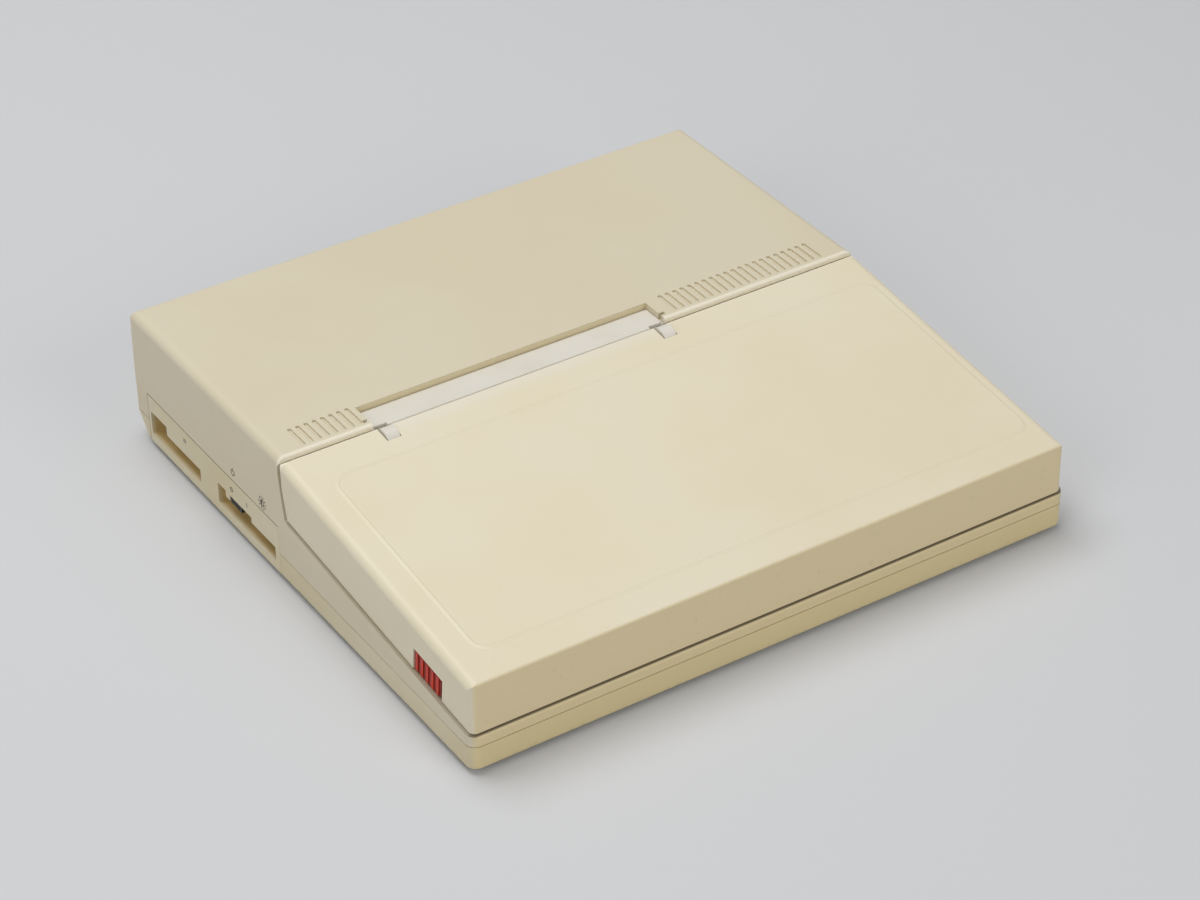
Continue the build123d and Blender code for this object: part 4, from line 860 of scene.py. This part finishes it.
def ringMark(centre, radius, line, share=1.0, start=0.0):
    # part of a ring in short plates: out along the outer arc and back along the inner one
    steps, length = marks["arcSteps"], marks["stripSteps"]
    circle = arc(start, 2 * np.pi * share, steps + 1)
    outer, inner = circle * (radius + line / 2), circle * (radius - line / 2)
    plates = []
    for a in range(0, steps, length):
        b = a + length + 1
        plate = np.concatenate([outer[a:b], inner[a:b][::-1]]) + centre
        plates.append(flatMark(plate[::-1]))
    return plates


def barMark(centre, halfRear, halfUp, angle=0.0):
    corner = min(halfRear, halfUp) * marks["barCorner"]
    flat = roundedOutline(halfRear, halfUp, corner, marks["barPerCorner"])[::-1]
    return [flatMark(turned(flat, angle) + centre)]


def makeMarks():
    m = marks
    line = m["line"]
    surfaces = ringMark(m["off"], m["offRadius"], line) + barMark(m["on"], line / 2, m["onHalf"])
    sun = np.array(m["sun"])
    surfaces += ringMark(sun, m["sunRadius"], line)
    t = np.linspace(-np.pi / 2, np.pi / 2, m["halfSteps"])
    half = np.stack([np.cos(t), np.sin(t)], -1)
    surfaces.append(flatMark((half * m["sunRadius"] + sun)[::-1]))
    for number in range(m["rays"]):
        angle = number * 2 * math.pi / m["rays"]
        at = sun + m["rayFrom"] * np.array([math.cos(angle), math.sin(angle)])
        surfaces += barMark(at, m["rayHalf"], line / 2, angle)
    start = math.radians(m["powerStart"])
    surfaces += ringMark(m["power"], m["powerRadius"], line, m["powerShare"], start)
    surfaces += barMark(m["powerBar"], line / 2, m["powerBarHalf"])
    for at in m["inletBars"]:
        surfaces += barMark(at, m["inletBarHalf"], line / 2)
    makePiece("marks_flank", surfaces, "sublimatedInk", "base", smooth=False)
    print("marks made")


makeMarks()


finishOf = {
    "caseAbs": ["top_case", "side_panel_right"],
    "trayAbs": ["bottom_case"],
    "panelAbs": ["side_panel_left"],
    "lidAbs": ["lid_cover", "lid_bezel"],
    "hingeAbs": ["hinge_cover", "hinge_bracket_left", "hinge_bracket_right"],
    "latchAbs": ["latch_left", "latch_right"],
    "blackAbs": [
        "power_switch_knob", "switch_body", "contrast_wheel", "contrast_control", "dc_inlet",
        "video_jack", "main_chips", "power_parts", "lcd_frame", "battery_tray", "key_switches",
        "speaker",
    ],
    "keyPbt": ["keys_number", "keys_upper", "keys_home", "keys_lower", "space_bar"],
    "keyPbtBrown": ["keys_function", "keys_bottom"],
    "driveAbs": ["drive_bezel", "eject_button", "rear_panel"],
    "nitrileRubber": ["rubber_feet"],
    "zincSteel": [
        "case_screws", "hinge_pins", "hinge_washers", "hinge_screws", "bezel_screws",
        "latch_springs", "drive_bracket", "carriage_rods", "socket_wide", "socket_small",
    ],
    "phosphatedSteel": ["keyboard_plate"],
    "castAluminium": ["drive_frame", "drive_rotor", "head_carriage", "capacitors"],
    "glassEpoxyBoard": ["main_board", "power_board", "keyboard_board", "lcd_board"],
    "sleevePvc": ["battery_cells"],
    "displayGlass": ["lcd_glass"],
    "acrylicLens": ["status_lamps"],
    "ribbonPolyimide": ["display_cable_base", "display_cable_lid"],
}
for finish, names in finishOf.items():
    for nodeName in names:
        nodes[nodeName].data.materials.clear()
        nodes[nodeName].data.materials.append(materials[finish])
bare = sorted(set(nodes) - {n for names in finishOf.values() for n in names})
print("nodes with no finish:", bare)


# camera, light and floor

view = {
    "azimuth": -32.599, "elevation": 34.888, "roll": -0.792, "distance": 1525.4,
    "target": (-7.98, -21.89, 31.5), "focalPixels": 3385.6, "frameWidth": 1200,
    "sensorWidth": 36.0, "nearest": 0.01, "farthest": 60.0,
}


def placeCamera(v):
    azimuth, elevation, roll = (math.radians(v[k]) for k in ("azimuth", "elevation", "roll"))
    level = math.cos(elevation)
    back = Vector((math.sin(azimuth) * level, -math.cos(azimuth) * level, math.sin(elevation)))
    right = (-back).cross(Vector((0, 0, 1))).normalized()
    up = right.cross(-back)
    rolledRight = right * math.cos(roll) + up * math.sin(roll)
    rolledUp = -right * math.sin(roll) + up * math.cos(roll)
    lensData = bpy.data.cameras.new("camera")
    lensData.sensor_width = v["sensorWidth"]
    lensData.lens = v["focalPixels"] * v["sensorWidth"] / v["frameWidth"]
    lensData.clip_start = v["nearest"]
    lensData.clip_end = v["farthest"]
    camera = bpy.data.objects.new("camera", lensData)
    bpy.context.scene.collection.objects.link(camera)
    axes = Matrix((rolledRight, rolledUp, back)).transposed()
    place = (Vector(v["target"]) + back * v["distance"]) * mm
    camera.matrix_world = Matrix.Translation(place) @ axes.to_4x4()
    bpy.context.scene.camera = camera


placeCamera(view)

# softboxes: (name, place, aim, size, watts), in metres
softboxes = [
    ("overheadBox", (-0.3, 0.5, 2.0), (0, 0, 0), 1.4, 26.0),
    ("leftBox", (-2.0, -0.9, 1.3), (0, 0, 0.03), 1.4, 12.5),
    ("frontBox", (0.7, -2.2, 1.2), (0, 0, 0.03), 1.4, 14.0),
]


def placeSoftboxes():
    for name, place, aim, size, watts in softboxes:
        lamp = bpy.data.lights.new(name, "AREA")
        lamp.shape = "SQUARE"
        lamp.size = size
        lamp.energy = watts
        box = bpy.data.objects.new(name, lamp)
        bpy.context.scene.collection.objects.link(box)
        turn = (Vector(aim) - Vector(place)).to_track_quat("-Z", "Y").to_matrix()
        box.matrix_world = Matrix.Translation(place) @ turn.to_4x4()


placeSoftboxes()

paper = {
    "near": ("#cccdcf", "#cfd0d2"), "far": "#d3d4d6", "fade": (0.5, 1.5), "fillLight": 0.3,
    "halfSide": 9.0, "fibreSize": 400, "roughness": 0.9,
}


def seenDirectly(tree):
    # 1 where the eye, a reflection or clear plastic looks at the backdrop, 0 where it gives light
    ray = addNode(tree, "LightPath").outputs
    either = maths(tree, "MAXIMUM", ray["Is Glossy Ray"], ray["Is Transmission Ray"])
    return maths(tree, "MAXIMUM", ray["Is Camera Ray"], either)


def hangBackdrop():
    # even white fill light, seen as the same pale grey as the far floor
    world = bpy.data.worlds.new("studio")
    bpy.context.scene.world = world
    world.use_nodes = True
    tree = world.node_tree
    tree.nodes.clear()
    fill = addNode(tree, "Background", {"Color": (1, 1, 1, 1), "Strength": paper["fillLight"]})
    pale = addNode(tree, "Background", {"Color": toLinear(paper["far"]), "Strength": 1.0})
    links = {0: seenDirectly(tree), 1: fill.outputs[0], 2: pale.outputs[0]}
    mixed = addNode(tree, "MixShader", links=links)
    addNode(tree, "OutputWorld", links={"Surface": mixed.outputs[0]})


def layFloor():
    # a plain pale sheet that the feet stand on; far away it fades to the backdrop's own grey
    half = paper["halfSide"]
    corners = [(-half, -half, 0), (half, -half, 0), (half, half, 0), (-half, half, 0)]
    mesh = bpy.data.meshes.new("floor")
    mesh.from_pydata(corners, [], [(0, 1, 2, 3)])
    floor = bpy.data.objects.new("floor", mesh)
    bpy.context.scene.collection.objects.link(floor)
    material, tree, surface, place = startMaterial("seamlessPaper")
    fibre = noise(tree, place, paper["fibreSize"], 1.0)
    tree.links.new(blendColours(tree, fibre, *paper["near"]), surface.inputs["Base Color"])
    setInputs(surface, {"Roughness": paper["roughness"]})
    away = addNode(tree, "VectorMath", {"operation": "LENGTH"}, {0: place}).outputs["Value"]
    glow = addNode(tree, "Emission", {"Color": toLinear(paper["far"]), "Strength": 1.0})
    share = multiply(tree, ramp(tree, away, *paper["fade"]), seenDirectly(tree))
    links = {0: share, 1: surface.outputs[0], 2: glow.outputs[0]}
    mixed = addNode(tree, "MixShader", links=links)
    output = next(node for node in tree.nodes if node.type == "OUTPUT_MATERIAL")
    tree.links.new(mixed.outputs[0], output.inputs["Surface"])
    mesh.materials.append(material)


hangBackdrop()
layFloor()
print("camera, light and floor placed")

bpy.context.scene.view_settings.view_transform = "Standard"
